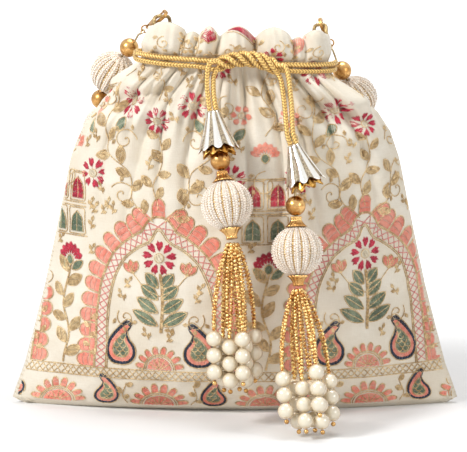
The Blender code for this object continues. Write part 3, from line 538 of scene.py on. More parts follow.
def stitch_tree():
    """Lays a thread's short barrel at each point, along its direction and flat on the cloth."""
    tree = bpy.data.node_groups.new("stitches", "GeometryNodeTree")
    ports = {"Geometry": "Geometry", "Width": "Float", "Height": "Float", "Overlap": "Float"}
    ports |= {"Sides": "Int", "Rings": "Int", "Thread": "Material"}
    for name, kind in ports.items():
        port = tree.interface.new_socket(name, in_out="INPUT", socket_type=f"NodeSocket{kind}")
        if kind == "Int":
            port.default_value = STITCH_MESH[name]
    tree.interface.new_socket("Geometry", in_out="OUTPUT", socket_type="NodeSocketGeometry")
    start = Node(tree, tree.nodes.new("NodeGroupInput").outputs["Geometry"])
    given = {port.name: Node(tree, port) for port in start.output.node.outputs if port.name}
    kinds = {"direction": "FLOAT_VECTOR", "outward": "FLOAT_VECTOR", "length": "FLOAT", "girth": "FLOAT"}
    stored = {
        name: start.node("GeometryNodeInputNamedAttribute", {"data_type": kind}, {"Name": name})
        for name, kind in kinds.items()
    }
    barrel = {"Segments": given["Sides"], "Rings": given["Rings"], "Radius": 0.5}
    turn = {"Primary Axis": stored["direction"], "Secondary Axis": stored["outward"]}
    size = {
        "X": given["Height"] * stored["girth"],
        "Y": given["Width"] * stored["girth"],
        "Z": stored["length"] * given["Overlap"],
    }
    axes = {"primary_axis": "Z", "secondary_axis": "X"}
    laid = {
        "Points": start,
        "Instance": start.node("GeometryNodeMeshUVSphere", inputs=barrel),
        "Rotation": start.node("FunctionNodeAxesToRotation", axes, turn),
        "Scale": start.node("ShaderNodeCombineXYZ", inputs=size),
    }
    made = start.node("GeometryNodeInstanceOnPoints", inputs=laid)
    for kind in ("GeometryNodeRealizeInstances", "GeometryNodeSetShadeSmooth"):
        made = made.node(kind, inputs={"Geometry": made})
    coat = {"Geometry": made, "Material": given["Thread"]}
    coated = made.node("GeometryNodeSetMaterial", inputs=coat)
    tree.links.new(coated.output, tree.nodes.new("NodeGroupOutput").inputs["Geometry"])
    return tree


def grown(name, places, attributes, tree, values):
    """A plain mesh object that a tree makes on points with the given attributes."""
    mesh = new_mesh(name, places)
    for label, numbers in attributes.items():
        numbers = np.asarray(numbers, np.float32)
        kind, field = ("FLOAT", "value") if numbers.ndim == 1 else ("FLOAT_VECTOR", "vector")
        mesh.attributes.new(label, kind, "POINT").data.foreach_set(field, numbers.ravel())
    obj = add(name, mesh)
    growth = obj.modifiers.new("growth", "NODES")
    growth.node_group = tree
    for port in tree.interface.items_tree:
        if port.in_out == "INPUT" and port.name in values:
            growth[port.identifier] = values[port.name]
    baked(obj)
    for label in list(attributes):
        if label in obj.data.attributes:
            obj.data.attributes.remove(obj.data.attributes[label])
    return obj


def unit(vectors):
    return vectors / np.linalg.norm(vectors, axis=-1, keepdims=True)


def points_at(points, run, marks):
    """A line's points at distances along it, given how far along its own points are."""
    return np.stack([np.interp(marks, run, column) for column in points.T], -1)


across_cloth = np.roll(cloth_points, -1, 1) - np.roll(cloth_points, 1, 1)
cloth_normals = unit(np.cross(across_cloth, np.gradient(cloth_points, axis=0)))
ROW_RUN = run_along(cloth_points[:, 3 * COLUMNS // 4]) / MM
HALF_GIRTH = quarters / MM


def on_cloth(across, up, front):
    """Where a place on a panel is: millimetres from its middle line, and up along it."""
    row = np.clip(np.interp(up, ROW_RUN, np.arange(len(ROW_RUN))), 0, len(ROW_RUN) - 1.001)
    share = across / np.interp(row, np.arange(len(HALF_GIRTH)), HALF_GIRTH)
    quarter = COLUMNS / 4
    column = (3 * quarter + quarter * share) if front else (quarter - quarter * share)
    i, k = row.astype(int), np.floor(column).astype(int)
    a, b = (row - i)[:, None], (column - k)[:, None]
    spot, out = (
        (grid[i, k % COLUMNS] * (1 - b) + grid[i, (k + 1) % COLUMNS] * b) * (1 - a)
        + (grid[i + 1, k % COLUMNS] * (1 - b) + grid[i + 1, (k + 1) % COLUMNS] * b) * a
        for grid in (cloth_points, cloth_normals)
    )
    inside = (np.abs(share) < 0.985) & (up > 0.5) & (up < ROW_RUN[-1] - 1.2)
    return spot, unit(out), inside


def thread_finish(name, pale, deep, roughness, metallic=0.0):
    """Embroidery silk or zari: the colour drifts from stitch to stitch."""
    thread, start = finish(name, Roughness=roughness, Metallic=metallic, Sheen_Weight=0.15)
    tone = (start.noise(420, 2) * 0.6 + start.noise(60, 2) * 0.4).between(0.36, 0.64)
    tone.colours(deep, pale).feed("Base Color")
    return thread


STITCHES = stitch_tree()
seam_thread = thread_finish("ivory_thread", colour(238, 226, 202), colour(205, 188, 158), 0.6)
seam_places, seam_along, seam_out = [], [], []
for side, column in ((1, 0), (-1, COLUMNS // 2)):
    line = cloth_points[:, column]
    for spot in points_at(line, run_along(line), np.arange(4 * MM, SEAM_TOP, SEAM_PITCH)):
        for front in (-1, 1):
            seam_places.append(spot + (side * -0.5 * MM, front * 0.7 * MM, 0))
            seam_along.append((side * -0.45, front * 1.0, 0.25 * front))
            seam_out.append((side, front * 0.4, 0))
seam_sizes = {"Width": 0.55 * MM, "Height": 0.45 * MM, "Overlap": 1.0, "Thread": seam_thread}
seam_facts = {
    "direction": unit(np.array(seam_along)),
    "outward": seam_out,
    "length": np.full(len(seam_places), 2.3 * MM),
    "girth": np.ones(len(seam_places)),
}
side_seams = grown("side_seam_stitches", seam_places, seam_facts, STITCHES, seam_sizes)
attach(side_seams, "pouch")


# Embroidery
# Raised silk and zari threads cover both panels with a garden pattern: scalloped arches with
# flowering plants and mango shapes in them, small windows and vines above, half rounds below.
# Every stitch is a thread of its own on the cloth. Places are in millimetres on the flat panel.

BAY = 106.0
PANEL_REACH = 165
SPRIG_STEP = 6.0
SPRIG_ROOM = 2.6
STITCH_WIDTH = 0.7 * MM
STITCH_HEIGHT = 0.56 * MM
# How far a stitch's middle stands off the cloth: the outlines lie over the filling
OUTLINES = ("zari", "navy", "ivory")
OUTLINE_LIFT = 0.30 * MM
FILLING_LIFT = 0.16 * MM
chance = np.random.default_rng(11)
worked = {}


def sew(thread, stitches):
    worked.setdefault(thread, []).extend(stitches)


def turned(points, angle, centre=(0, 0), scale=1.0):
    """Points of a motif turned by an angle in degrees, scaled, and moved to its centre."""
    a = math.radians(angle)
    turn = np.array(((math.cos(a), math.sin(a)), (-math.sin(a), math.cos(a))))
    return np.asarray(points, float) @ turn * scale + np.asarray(centre, float)


def filled(thread, outlines, angle, pitch=0.62, longest=2.9):
    """Fills closed outlines with rows of stitches laid at an angle."""
    rows = [turned(outline, -angle) for outline in outlines]
    low = min(row[:, 1].min() for row in rows) + pitch / 2
    high = max(row[:, 1].max() for row in rows)
    stitches = []
    for n, y in enumerate(np.arange(low, high, pitch)):
        cuts = []
        for row in rows:
            after = np.roll(row, -1, 0)
            hit = (row[:, 1] <= y) != (after[:, 1] <= y)
            share = (y - row[hit, 1]) / (after[hit, 1] - row[hit, 1])
            cuts.extend(row[hit, 0] + share * (after[hit, 0] - row[hit, 0]))
        cuts.sort()
        for x0, x1 in zip(cuts[::2], cuts[1::2]):
            if x1 - x0 < 0.35:
                continue
            count = max(1, round((x1 - x0) / longest + 0.25 * (n % 2)))
            marks = np.linspace(x0, x1, count + 1)
            for a, b in zip(marks, marks[1:]):
                stitches.append(((a, y), (b, y)))
    if stitches:
        sew(thread, turned(np.array(stitches).reshape(-1, 2), angle).reshape(-1, 2, 2))


def toward(angle):
    return np.array((math.cos(angle), math.sin(angle)))


def smooth_line(points):
    """Closely spaced points on a smooth curve through the given ones."""
    points = [np.array(p, float) for p in points]
    points = [2 * points[0] - points[1]] + points + [2 * points[-1] - points[-2]]
    dense = []
    for a, b, c, d in zip(points, points[1:], points[2:], points[3:]):
        count = max(int(np.hypot(*(c - b)) / 0.5), 1)
        for t in np.arange(count) / count:
            curve = 2 * b + (c - a) * t + (2 * a - 5 * b + 4 * c - d) * t**2
            dense.append((curve + (3 * b - a - 3 * c + d) * t**3) / 2)
    return np.array(dense + [points[-2]])


def spaced(points, length):
    """Points along a line, evenly spaced by about a length."""
    run = run_along(points)
    return points_at(points, run, np.linspace(0, run[-1], max(int(round(run[-1] / length)), 1) + 1))


def lined(thread, points, closed=False, length=1.9):
    """One row of chain stitches along a line."""
    points = np.asarray(points, float)
    marks = spaced(np.concatenate([points, points[:1]]) if closed else points, length)
    sew(thread, np.stack([marks[:-1], marks[1:]], 1))


def leaf_shape(base, tip, width, fullness=1.0):
    """A leaf or petal between two points; a fullness above 1 is widest near the tip."""
    base, tip = np.array(base, float), np.array(tip, float)
    along = tip - base
    across = np.array((-along[1], along[0])) / np.hypot(*along)
    t = np.linspace(0, 1, 11)
    bulge = width / 2 * np.sin(math.pi * t**fullness) ** 0.85
    left = base + along * t[:, None] + across * bulge[:, None]
    right = base + along * t[:, None] - across * bulge[:, None]
    return np.concatenate([left, right[-2:0:-1]])


def heading(base, tip):
    return math.degrees(math.atan2(tip[1] - base[1], tip[0] - base[0]))


def leaf(base, tip, width, thread, outline="zari", fullness=1.0):
    """A filled leaf or petal with a thread round it."""
    filled(thread, [leaf_shape(base, tip, width, fullness)], heading(base, tip) + 35)
    if outline:
        lined(outline, leaf_shape(base, tip, width + 0.7, fullness), closed=True, length=1.6)


def flower(centre, radius, petals, thread, split=False):
    """A round flower: whole or split petals round a ring of zari with a pale middle."""
    centre = np.array(centre, float)
    start = chance.uniform(0, 60)
    width = 2 * math.pi * radius * 0.62 / petals
    for k in range(petals):
        angle = math.radians(start + 360 * k / petals)
        way = toward(angle)
        base, tip = centre + way * radius * 0.34, centre + way * radius
        if split:
            side = np.array((-way[1], way[0])) * width * 0.26
            for sign in (-1, 1):
                shape = leaf_shape(base, tip + sign * side, width * 0.52, 1.5)
                filled(thread, [shape], math.degrees(angle), pitch=0.55)
        else:
            filled(thread, [leaf_shape(base, tip, width * 0.92, 1.4)], math.degrees(angle), pitch=0.58)
    ring = np.array([centre + radius * 0.27 * toward(a) for a in np.linspace(0, 2 * math.pi, 13)[:-1]])
    lined("zari", ring, closed=True, length=1.1)
    filled("ivory", [ring], 30, pitch=0.5, longest=1.4)


def stem(points, rows=1):
    """A smooth zari line, as wide as its rows side by side."""
    line = smooth_line(points)
    for k in range(rows):
        lined("zari", line + np.array((0.55 * k, 0.0)))
    return line


def leafy_stem(points, size, gap, first=5.0, rows=1):
    """A stem with zari leaves on both sides in turn."""
    line = stem(points, rows=rows)
    run = run_along(line)
    for n, at in enumerate(np.arange(first, run[-1] - 2, gap)):
        spot, after = points_at(line, run, np.array((at, at + 1)))
        way = toward(math.radians(heading(spot, after) + (48 if n % 2 else -48)))
        length = size * chance.uniform(0.85, 1.12)
        leaf(spot + way * 0.8, spot + way * length, length * 0.42, "zari")
    return line


def petal_band(line, width, depth):
    """Rounded coral petals side by side along a line, each between threads of zari."""
    marks = spaced(line, width)
    for a, b in zip(marks, marks[1:]):
        along = (b - a) / np.hypot(*(b - a))
        out = np.array((-along[1], along[0]))
        low, high = a + along * 0.35, b - along * 0.35
        shape = [low, high, high + out * depth * 0.62]
        for t in np.linspace(0, math.pi, 6)[1:-1]:
            mid = (low + high) / 2 + out * depth * 0.62
            shape.append(mid + (high - low) / 2 * math.cos(t) + out * depth * 0.38 * math.sin(t))
        shape.append(low + out * depth * 0.62)
        filled("coral", [np.array(shape)], heading(a, b) + 90, pitch=0.6, longest=3.2)
        lined("zari", [low - along * 0.2, low + out * depth * 0.72 - along * 0.2], length=1.8)
        lined("zari", np.array(shape[2:]) + out * 0.5, length=1.6)
    lined("zari", line)


def outset(line, distance):
    """A line moved sideways, to its left."""
    along = np.gradient(line, axis=0)
    along = along / np.hypot(*along.T)[:, None]
    return line + distance * np.stack([-along[:, 1], along[:, 0]], 1)


def trellis(line, width, thread, gap):
    """A band of crossed threads along a line."""
    inner = spaced(line, gap / 4)
    inner, outer = inner[::4], outset(inner, width)[::4]
    for k in range(len(inner) - 1):
        lined(thread, [inner[k], outer[k + 1]], length=1.7)
        lined(thread, [outer[k], inner[k + 1]], length=1.7)


def arch_line(centre, half, height):
    """A pointed arch from its left foot over to its right one."""
    x, y = centre
    left = [(-1, 0), (-1, 0.38), (-0.93, 0.6), (-0.72, 0.8), (-0.42, 0.91), (-0.16, 0.97), (0, 1.06)]
    points = [(x + half * a, y + height * b) for a, b in left]
    points += [(2 * x - a, b) for a, b in points[-2::-1]]
    return smooth_line(points)


def niche(centre, half, height):
    """A scalloped arch: zari lines, a trellis band, and petals round the outside."""
    line = arch_line(centre, half, height)
    lined("zari", line)
    lined("zari", outset(line, 0.9))
    trellis(outset(line, 1.3), 4.6, "rose", gap=3.6)
    lined("zari", outset(line, 6.3))
    petal_band(outset(line, 6.9), 7.6, 9.5)


def half_round(centre, radius):
    """A scalloped half circle, filled with coral and rayed with zari."""
    angles = np.radians(np.linspace(180, 0, 40))
    ring = np.stack([np.cos(angles), np.sin(angles)], 1)
    centre = np.array(centre, float)
    petal_band(centre + ring * radius * 0.66, radius * 0.27, radius * 0.34)
    lined("zari", centre + ring * radius * 0.58)
    filled("coral", [centre + ring * radius * 0.5], 20, pitch=0.7)
    for angle in range(30, 151, 30):
        way = toward(math.radians(angle))
        lined("zari", [centre + way * radius * 0.08, centre + way * radius * 0.48])


def window(corner, width, height, thread):
    """A small arched window in a frame of zari, its opening filled with bars of silk."""
    x, y = corner
    frame = [(x, y), (x + width, y), (x + width, y + height), (x, y + height)]
    lined("zari", frame, closed=True)
    lined("zari", [(x - 0.9, y - 0.9), (x + width + 0.9, y - 0.9)])
    lined("zari", [(x - 0.9, y + height + 0.9), (x + width + 0.9, y + height + 0.9)])
    middle, half = x + width / 2, width / 2 - 1.4
    arch = arch_line((middle, y + 1.2), half, height - 3.4)
    filled(thread, [np.concatenate([arch, [(middle, y + 1.2)]])], 90, pitch=0.66)
    lined("zari", arch)
    lined("zari", [(middle, y + 1.2), (middle, y + height - 3)])


MANGO = smooth_line(
    [(0, 0), (8, 2.5), (12, 10), (10.5, 19), (5, 26), (-1, 31), (-7, 35), (-11, 33), (-9.5, 30), (-6.5, 27)]
    + [(-7.5, 21), (-11.5, 14), (-11, 6), (-6, 1), (0, 0)]
)


def inside(outline, spot):
    after = np.roll(outline, -1, 0)
    hit = (outline[:, 1] <= spot[1]) != (after[:, 1] <= spot[1])
    share = (spot[1] - outline[hit, 1]) / (after[hit, 1] - outline[hit, 1])
    return (outline[hit, 0] + share * (after[hit, 0] - outline[hit, 0]) > spot[0]).sum() % 2 == 1


def mango(centre, scale, angle, mirrored):
    """A mango shape: dark outlines, a coral rim, and a sage heart of overlapping scales."""
    shape = MANGO * ((-1, 1) if mirrored else (1, 1))
    outer = turned(shape, angle, centre, scale)
    middle = turned((0, 13), angle, centre, scale)

    def grown_by(share):
        return middle + (outer - middle) * share

    inner, core = grown_by(0.66), grown_by(0.6)
    filled("coral", [outer, inner], angle + 20)
    filled("sage", [core], angle + 90, pitch=0.66)
    for line in (outer, grown_by(1.07), grown_by(1.13)):
        lined("navy", line, length=1.7)
    lined("zari", grown_by(1.21))
    lined("zari", inner)
    size = 3.4
    scale_angles = np.radians((0, 50, 90, 130, 180))
    low, high = core.min(0), core.max(0)
    for row, y in enumerate(np.arange(low[1], high[1], size * 0.62)):
        for x in np.arange(low[0] + size * 0.5 * (row % 2), high[0], size):
            if inside(core, (x, y)):
                arc = [(x + size / 2 * math.cos(a), y - size / 2 * math.sin(a)) for a in scale_angles]
                lined("zari", arc, length=1.2)


def flowering_plant(foot, height):
    """A plant in a niche: a stem, paired sage leaves, buds at its sides and one open flower."""
    x, y = foot
    stem([(x, y), (x + 1.0, y + height * 0.5), (x, y + height)], rows=3)
    for k, share in enumerate((0.12, 0.34, 0.56, 0.76)):
        reach = 14.5 - 2.4 * k
        for sign in (-1, 1):
            at = (x + sign * 0.8, y + height * share)
            tip = (x + sign * reach, y + height * share + 7.5)
            leaf(at, tip, 5.2, "sage")
            lined("zari", [at, tip], length=1.6)
    for sign in (-1, 1):
        top = (x + sign * 14, y + height * 0.98)
        stem([(x, y + height * 0.62), (x + sign * 8, y + height * 0.76), top])
        for turn in (-34, 0, 34):
            way = turned((7.0, 0), 90 - sign * 12 + turn)
            leaf(top, top + way, 3.0, "coral", fullness=1.3)
    flower((x, y + height + 8.0), 8.6, 9, "crimson", split=True)


def scroll(foot, radius, angle, hand=1):
    """A curling zari tendril that ends in a spiral, with a few small leaves on its back."""
    turns = np.linspace(0, 1, 30)
    size = radius * (1 - turns) ** 0.75
    phase = math.radians(angle) + hand * turns * 2 * math.pi * 1.35
    centre = np.array(foot) - radius * toward(math.radians(angle))
    line = centre + np.stack([np.cos(phase), np.sin(phase)], 1) * size[:, None]
    lined("zari", line, length=1.3)
    for k in (3, 7, 11):
        out = (line[k] - centre) / np.hypot(*(line[k] - centre))
        ahead = (line[k + 1] - line[k]) / np.hypot(*(line[k + 1] - line[k]))
        leaf(line[k] + out * 0.4, line[k] + out * 3.4 + ahead * 2.2, 2.0, "zari", outline=None)


def carnation(foot, size, angle, thread):
    """A fan of pointed petals on a sage cup, seen from the side."""
    foot = np.array(foot, float)
    for k in range(7):
        fan = angle + (k - 3) * 21
        way = turned((size, 0), fan)
        shape = leaf_shape(foot + way * 0.3, foot + way * (1.0 - 0.03 * abs(k - 3)), size * 0.34, 1.6)
        filled(thread, [shape], fan, pitch=0.55)
    low, high = foot - turned((size * 0.25, 0), angle), foot + turned((size * 0.34, 0), angle)
    leaf(low, high, size * 0.4, "sage")


def tall_plant(foot, height):
    """A tall bush of zari leaves on a bending stem, with a carnation on top."""
    x, y = foot
    points = [(x, y), (x + 2.5, y + height * 0.3), (x - 2.0, y + height * 0.62), (x + 1.5, y + height)]
    line = leafy_stem(points, 11.0, gap=6.0, first=4.0, rows=2)
    carnation(line[-1] + (0, 1.5), 9.5, 88, "crimson")
    leaf(line[-1] + (-1, -3), line[-1] + (-8, 3), 3.6, "sage")
    leaf(line[-1] + (1, -3), line[-1] + (8.5, 2), 3.6, "sage")


def arcade(x):
    """One bay: a great scalloped niche with its plant, half rounds, and mango shapes beside."""
    niche((x, 30), 27.5, 68)
    flowering_plant((x, 50), 30)
    half_round((x, 30.5), 12.5)
    trellis(np.array([(x - BAY / 2, 25.2), (x + BAY / 2, 25.2)]), 4.0, "zari", gap=3.4)
    for y in (24.6, 29.8):
        lined("zari", [(x - BAY / 2, y), (x + BAY / 2, y)])
    half_round((x, 7.4), 15)
    for sign in (-1, 1):
        mango((x + sign * 28, 8.5), 0.46, sign * 8, sign > 0)
        mango((x + sign * 19.6, 33.5), 0.56, sign * -6, sign < 0)
        scroll((x + sign * 22, 60), 5.0, 90 - sign * 50, -sign)
        leafy_stem([(x + sign * 36, 33), (x + sign * 38, 46), (x + sign * 37, 58)], 5.0, gap=4.6, first=3)
        leafy_stem([(x + sign * 16, 8), (x + sign * 19, 14), (x + sign * 17, 22)], 5.0, gap=5.0, first=3)


def high_vines(x):
    """The vines over one bay, up to the gathers."""
    for sign in (-1, 1):

        def at(out, up):
            return x + sign * 3 + sign * out, up

        vine = ((0, 106), (11, 116), (13, 130), (24, 140), (27, 156), (22, 172))
        leafy_stem([at(*spot) for spot in vine], 9.2, gap=7.2)
        scroll(at(22, 122), 6.5, 90 - sign * 60, sign)
        scroll(at(9, 146), 6.0, 90 + sign * 90, -sign)
        scroll(at(31, 170), 5.5, 90, sign)
        flower(at(33, 128), 7.4, 8, "crimson", split=True)
        flower(at(14, 164), 7.2, 8, "crimson", split=True)
        leaf(at(20, 150), at(15, 157), 4.4, "sage")
        leaf(at(34, 147), at(40, 153), 4.4, "sage")
        flower(at(38, 160), 5.4, 6, "coral")
        flower(at(27, 184), 6.0, 7, "crimson", split=True)
    leafy_stem([(x, 112), (x - 3, 124), (x + 2, 136), (x - 1, 150)], 8.6, gap=6.4)
    flower((x - 1, 156), 6.8, 8, "crimson", split=True)
    leafy_stem([(x, 166), (x + 3, 176), (x, 188)], 6.0, gap=5.5)


def garden(slide):
    """One panel's pattern; a slide moves it along the cloth, as the panels are cut from one length."""
    for x in slide + BAY * np.arange(-2.0, 3.0):
        if abs(x) > PANEL_REACH:
            continue
        arcade(x)
        high_vines(x)
        post = x + BAY / 2
        half_round((post, 7.4), 15)
        tall_plant((post, 31), 50)
        for y, height, thread in ((113, 14, "crimson"), (96.5, 13, "sage")):
            for left in (-11.5, 1.0):
                window((post + left, y), 10.5, height, thread)
        scroll((post, 132), 6.5, 90)
        carnation((post, 138), 9.0, 90, "coral")
        leafy_stem([(post, 150), (post + 5, 160), (post - 2, 172), (post + 3, 186)], 8.4, gap=6.4)
        flower((post + 3, 192), 5.8, 7, "crimson", split=True)
    edging()
    scatter_sprigs()


def edging():
    """Tips of crimson, a coral bud and curls of zari on the frill's folds."""
    top = ROW_RUN[-1] - 1.3
    leaf((-14.8, top - 9), (-14.8, top + 1), 7.0, "crimson", fullness=1.2)
    filled("crimson", [np.array([(-6, top), (8.5, top), (8.5, top - 5), (1, top - 3)])], 90, pitch=0.55)
    filled("coral", [np.array([(27, top), (34, top), (32, top - 8), (29, top - 12)])], 90, pitch=0.6)
    lined("zari", [(-6, top - 1), (1, top - 4), (8.5, top - 6)])
    curls = ((-36, 7, 1), (-24, 5, 1), (-14, 13, -1), (-4, 9, -1), (4, 10, 1), (20, 6, -1), (40, 8, 1))
    for x, below, hand in curls:
        scroll((x, top - below), 3.4, 90, hand)
    for x in (-27, -20, 9, 27.5):
        leafy_stem([(x, top - 16), (x + 1, top - 9), (x, top - 1)], 3.4, gap=3.2, first=2)


def scatter_sprigs():
    """Small zari sprigs wherever the panel is still bare."""

    def cell(spot):
        return round(spot[0] / SPRIG_ROOM), round(spot[1] / SPRIG_ROOM)

    taken = {cell(np.mean(np.asarray(stitch), axis=0)) for stitches in worked.values() for stitch in stitches}
    for y in np.arange(10, 190, SPRIG_STEP):
        for x in np.arange(-122, 122, SPRIG_STEP):
            at = np.array((x, y)) + chance.uniform(-2.8, 2.8, 2)
            i, k = cell(at)
            if any((i + a, k + b) in taken for a in (-1, 0, 1) for b in (-1, 0, 1)):
                continue
            angle = chance.uniform(50, 130)
            lined("zari", [at, at + turned((4.4, 0), angle)], length=1.5)
            for turn, low in ((-50, 0.8), (50, 2.2), (0, 4.0)):
                base = at + turned((low, 0), angle)
                tip = base + turned((3.0, 0), angle + turn)
                filled("zari", [leaf_shape(base, tip, 1.6)], angle + turn, pitch=0.55, longest=1.6)


THREADS = {
    "zari": thread_finish("zari", colour(242, 216, 168), colour(190, 156, 106), 0.36, 0.25),
    "coral": thread_finish("coral_silk", colour(255, 182, 160), colour(246, 146, 124), 0.45),
    "rose": thread_finish("rose_silk", colour(240, 172, 160), colour(222, 134, 128), 0.45),
    "crimson": thread_finish("crimson_silk", colour(224, 58, 86), colour(176, 26, 56), 0.45),
    "sage": thread_finish("sage_silk", colour(152, 166, 136), colour(104, 122, 98), 0.45),
    "navy": thread_finish("navy_silk", colour(48, 62, 84), colour(20, 28, 44), 0.45),
    "ivory": thread_finish("pale_silk", colour(246, 236, 214), colour(224, 208, 178), 0.5),
}
for front, slide in ((True, -38.0), (False, 12.0)):
    worked.clear()
    garden(slide)
    for thread, stitches in worked.items():
        ends = np.array(stitches, float)
        starts, first_out, first_in = on_cloth(ends[:, 0, 0], ends[:, 0, 1], front)
        stops, last_out, last_in = on_cloth(ends[:, 1, 0], ends[:, 1, 1], front)
        kept = first_in & last_in
        starts, stops, out = starts[kept], stops[kept], unit(first_out + last_out)[kept]
        middles = (starts + stops) / 2 + out * (OUTLINE_LIFT if thread in OUTLINES else FILLING_LIFT)
        facts = {
            "direction": unit(stops - starts),
            "outward": out,
            "length": np.linalg.norm(stops - starts, axis=1),
            "girth": chance.uniform(0.88, 1.08, len(starts)),
        }
        values = {"Width": STITCH_WIDTH, "Height": STITCH_HEIGHT, "Overlap": 1.3}
        values["Thread"] = THREADS[thread]
        face = "front" if front else "back"
        piece = grown(f"{thread}_embroidery_{face}", middles, facts, STITCHES, values)
        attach(piece, "pouch")


# Lining
# A plain cream bag, a little smaller, that hangs inside the outer one and takes its folds.
# Its top edge is sewn inside the frill.

LINING_GAP = 2.6 * MM
LINING_CLOTH = 0.5 * MM
lining_rows = []
for z in bag_heights(1.6 * MM, NECK_HEIGHT + 0.45 * FRILL_HEIGHT)[::2]:
    near_cords = smoothstep(z, 150 * MM, 168 * MM)
    inset = LINING_GAP + 4.6 * MM * near_cords + 2.0 * MM * smoothstep(z, 12 * MM, 2 * MM)
    lining_rows.append(bag_row(z, inset, 0.55 * (1 - near_cords))[0][::2])
lining = shell("cotton_lining", np.array(lining_rows), LINING_CLOTH, cream_cotton)
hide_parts("lining")
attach(lining, "pouch")


# Drawstrings
# Two cords of braided gold thread. Each has both its ends in one tassel's cone, runs through
# the knot in front, goes in at the far side of the neck and round inside the casing.

CORD_DIAMETER = 2.6 * MM
CORD_STACK = 3.2 * MM
CORD_GAP = 0.3 * MM
CORD_END_GAP = 0.5 * MM
ROUTE_STEP = 0.25 * MM
CORD_STEP = 0.28 * MM
CORD_SIDES = 16
KNOT_X = 6 * MM
KNOT_LENGTH = 30 * MM
KNOT_RADIUS = 2.95 * MM
KNOT_STANDOFF = 7.0 * MM
KNOT_ARCH = 4 * MM
KNOT_TURNS = 1.5
NECK_PLEATS = ((0.72, 0.0), (0.81, 0.4 * MM), (0.87, 0.8 * MM), (0.92, 1.1 * MM), (1.0, 1.0 * MM))
CASING = NECK_PLEATS[-1][1] + CORD_GAP + CORD_DIAMETER / 2
INNER_LANE = 1.0 * MM + CASING
OUTER_LANE = CASING + 0.6 * MM
TASSEL_BALL = 13 * MM
TASSEL_BEAD = 5 * MM
CONE_LENGTH = 20 * MM
CONE_MOUTH = 10.5 * MM
CONE_TOP = 3.2 * MM
CAP_HEIGHT = 5.1 * MM
CAP_TOP = TASSEL_BALL + CAP_HEIGHT - 0.9 * MM
REST_GAP = 0.6 * MM
# For each tassel: the ball and the cone's mouth over the front, the cone's own tilt, and how
# far its mouth is above the bead
TASSELS = {
    "left": ((-4, 109), (-8.3, 136.5), 0.0, 0.0),
    "right": ((30.7, 86), (29.7, 115), 16.0, 5.0),
}


def front(x, z):
    """How far the smooth pouch's front stands before the middle plane."""
    half_width, half_depth, power, edge = bag_size(z)
    pleat = np.interp(z / NECK_HEIGHT, *zip(*NECK_PLEATS))
    return float(half_depth * max(1 - (abs(x) / half_width) ** power, 0.0) ** edge + pleat)


def along(direction):
    """A rotation that turns +Z to a direction, and keeps +X to the right where it can."""
    z = Vector(direction).normalized()
    x = Vector((1, 0, 0)) if abs(z.x) < 0.9 else Vector((0, 1, 0))
    x = (x - z * x.dot(z)).normalized()
    return Matrix((x, z.cross(x), z)).transposed().to_4x4()


def tassel_place(side):
    """The ball's middle, the way up along the string, and the place of the cone's top."""
    ball, mouth, tilt, drop = TASSELS[side]
    x, z = (value * MM for value in ball)
    centre = Vector((x, -front(x, z) - TASSEL_BALL - REST_GAP, z))
    x, z = (value * MM for value in mouth)
    upward = (Vector((x, -front(x, z) - CONE_MOUTH - 2 * REST_GAP, z)) - centre).normalized()
    cone_top = CAP_TOP + CORD_GAP + 2 * TASSEL_BEAD + drop * MM + CONE_LENGTH
    tilted = Matrix.Rotation(-math.radians(tilt), 4, "Y") @ along(upward)
    return centre, upward, Matrix.Translation(centre + upward * cone_top) @ tilted


def smooth_route(points):
    """Closely spaced points on a smooth curve through the given ones."""
    points = [Vector(p) for p in points]
    points = [2 * points[0] - points[1]] + points + [2 * points[-1] - points[-2]]
    dense = []
    for a, b, c, d in zip(points, points[1:], points[2:], points[3:]):
        t1 = (b - a).length ** 0.5
        t2 = t1 + (c - b).length ** 0.5
        t3 = t2 + (d - c).length ** 0.5
        count = max(int((c - b).length / ROUTE_STEP), 1)
        for i in range(count):
            t = t1 + (t2 - t1) * i / count
            ab = a.lerp(b, t / t1)
            bc = b.lerp(c, (t - t1) / (t2 - t1))
            cd = c.lerp(d, (t - t2) / (t3 - t2))
            bcd = bc.lerp(cd, (t - t1) / (t3 - t1))
            dense.append(ab.lerp(bc, t / t2).lerp(bcd, (t - t1) / (t2 - t1)))
    return dense + [points[-2]]


def lane(x, inset, sign):
    """A point beside the neck's wall at x, on the front (sign -1) or the back (sign 1)."""
    half_width, half_depth, power, edge = bag_size(NECK_HEIGHT)
    half_width, half_depth = half_width - inset, half_depth - inset
    return Vector((x, sign * half_depth * (1 - (abs(x) / half_width) ** power) ** edge, 0))


def half_knot(start_turn, share):
    """A point on one strand of the twist, share of the way from its left end to its right."""
    turn = start_turn + 2 * math.pi * KNOT_TURNS * share
    x = KNOT_X + KNOT_LENGTH * (share - 0.5)
    arch = KNOT_ARCH * (1 - (2 * share - 1) ** 2)
    y = -(NECK_DEPTH / 2 + KNOT_STANDOFF) + KNOT_RADIUS * math.cos(turn)
    return Vector((x, y, KNOT_RADIUS * math.sin(turn) + arch))


def tail(start, cone, side):
    """A strand's free end, from the knot down to the top of its cone."""
    outer = start.z > NECK_HEIGHT
    apart = side * (CORD_DIAMETER + CORD_GAP) / 2 * (1 if outer else -1)
    end = cone @ Vector((apart, 0, CORD_END_GAP))
    above = cone @ Vector((apart, 0, CORD_END_GAP + 5 * MM))
    bend = start + Vector((side * (3.6 if outer else 1.5), -1.3, -0.7 if outer else -2.6)) * MM
    middle = bend.lerp(above, 0.5) + Vector((side * (1.0 if outer else 0.4) * MM, 0, 0))
    return [bend, middle, above, end]


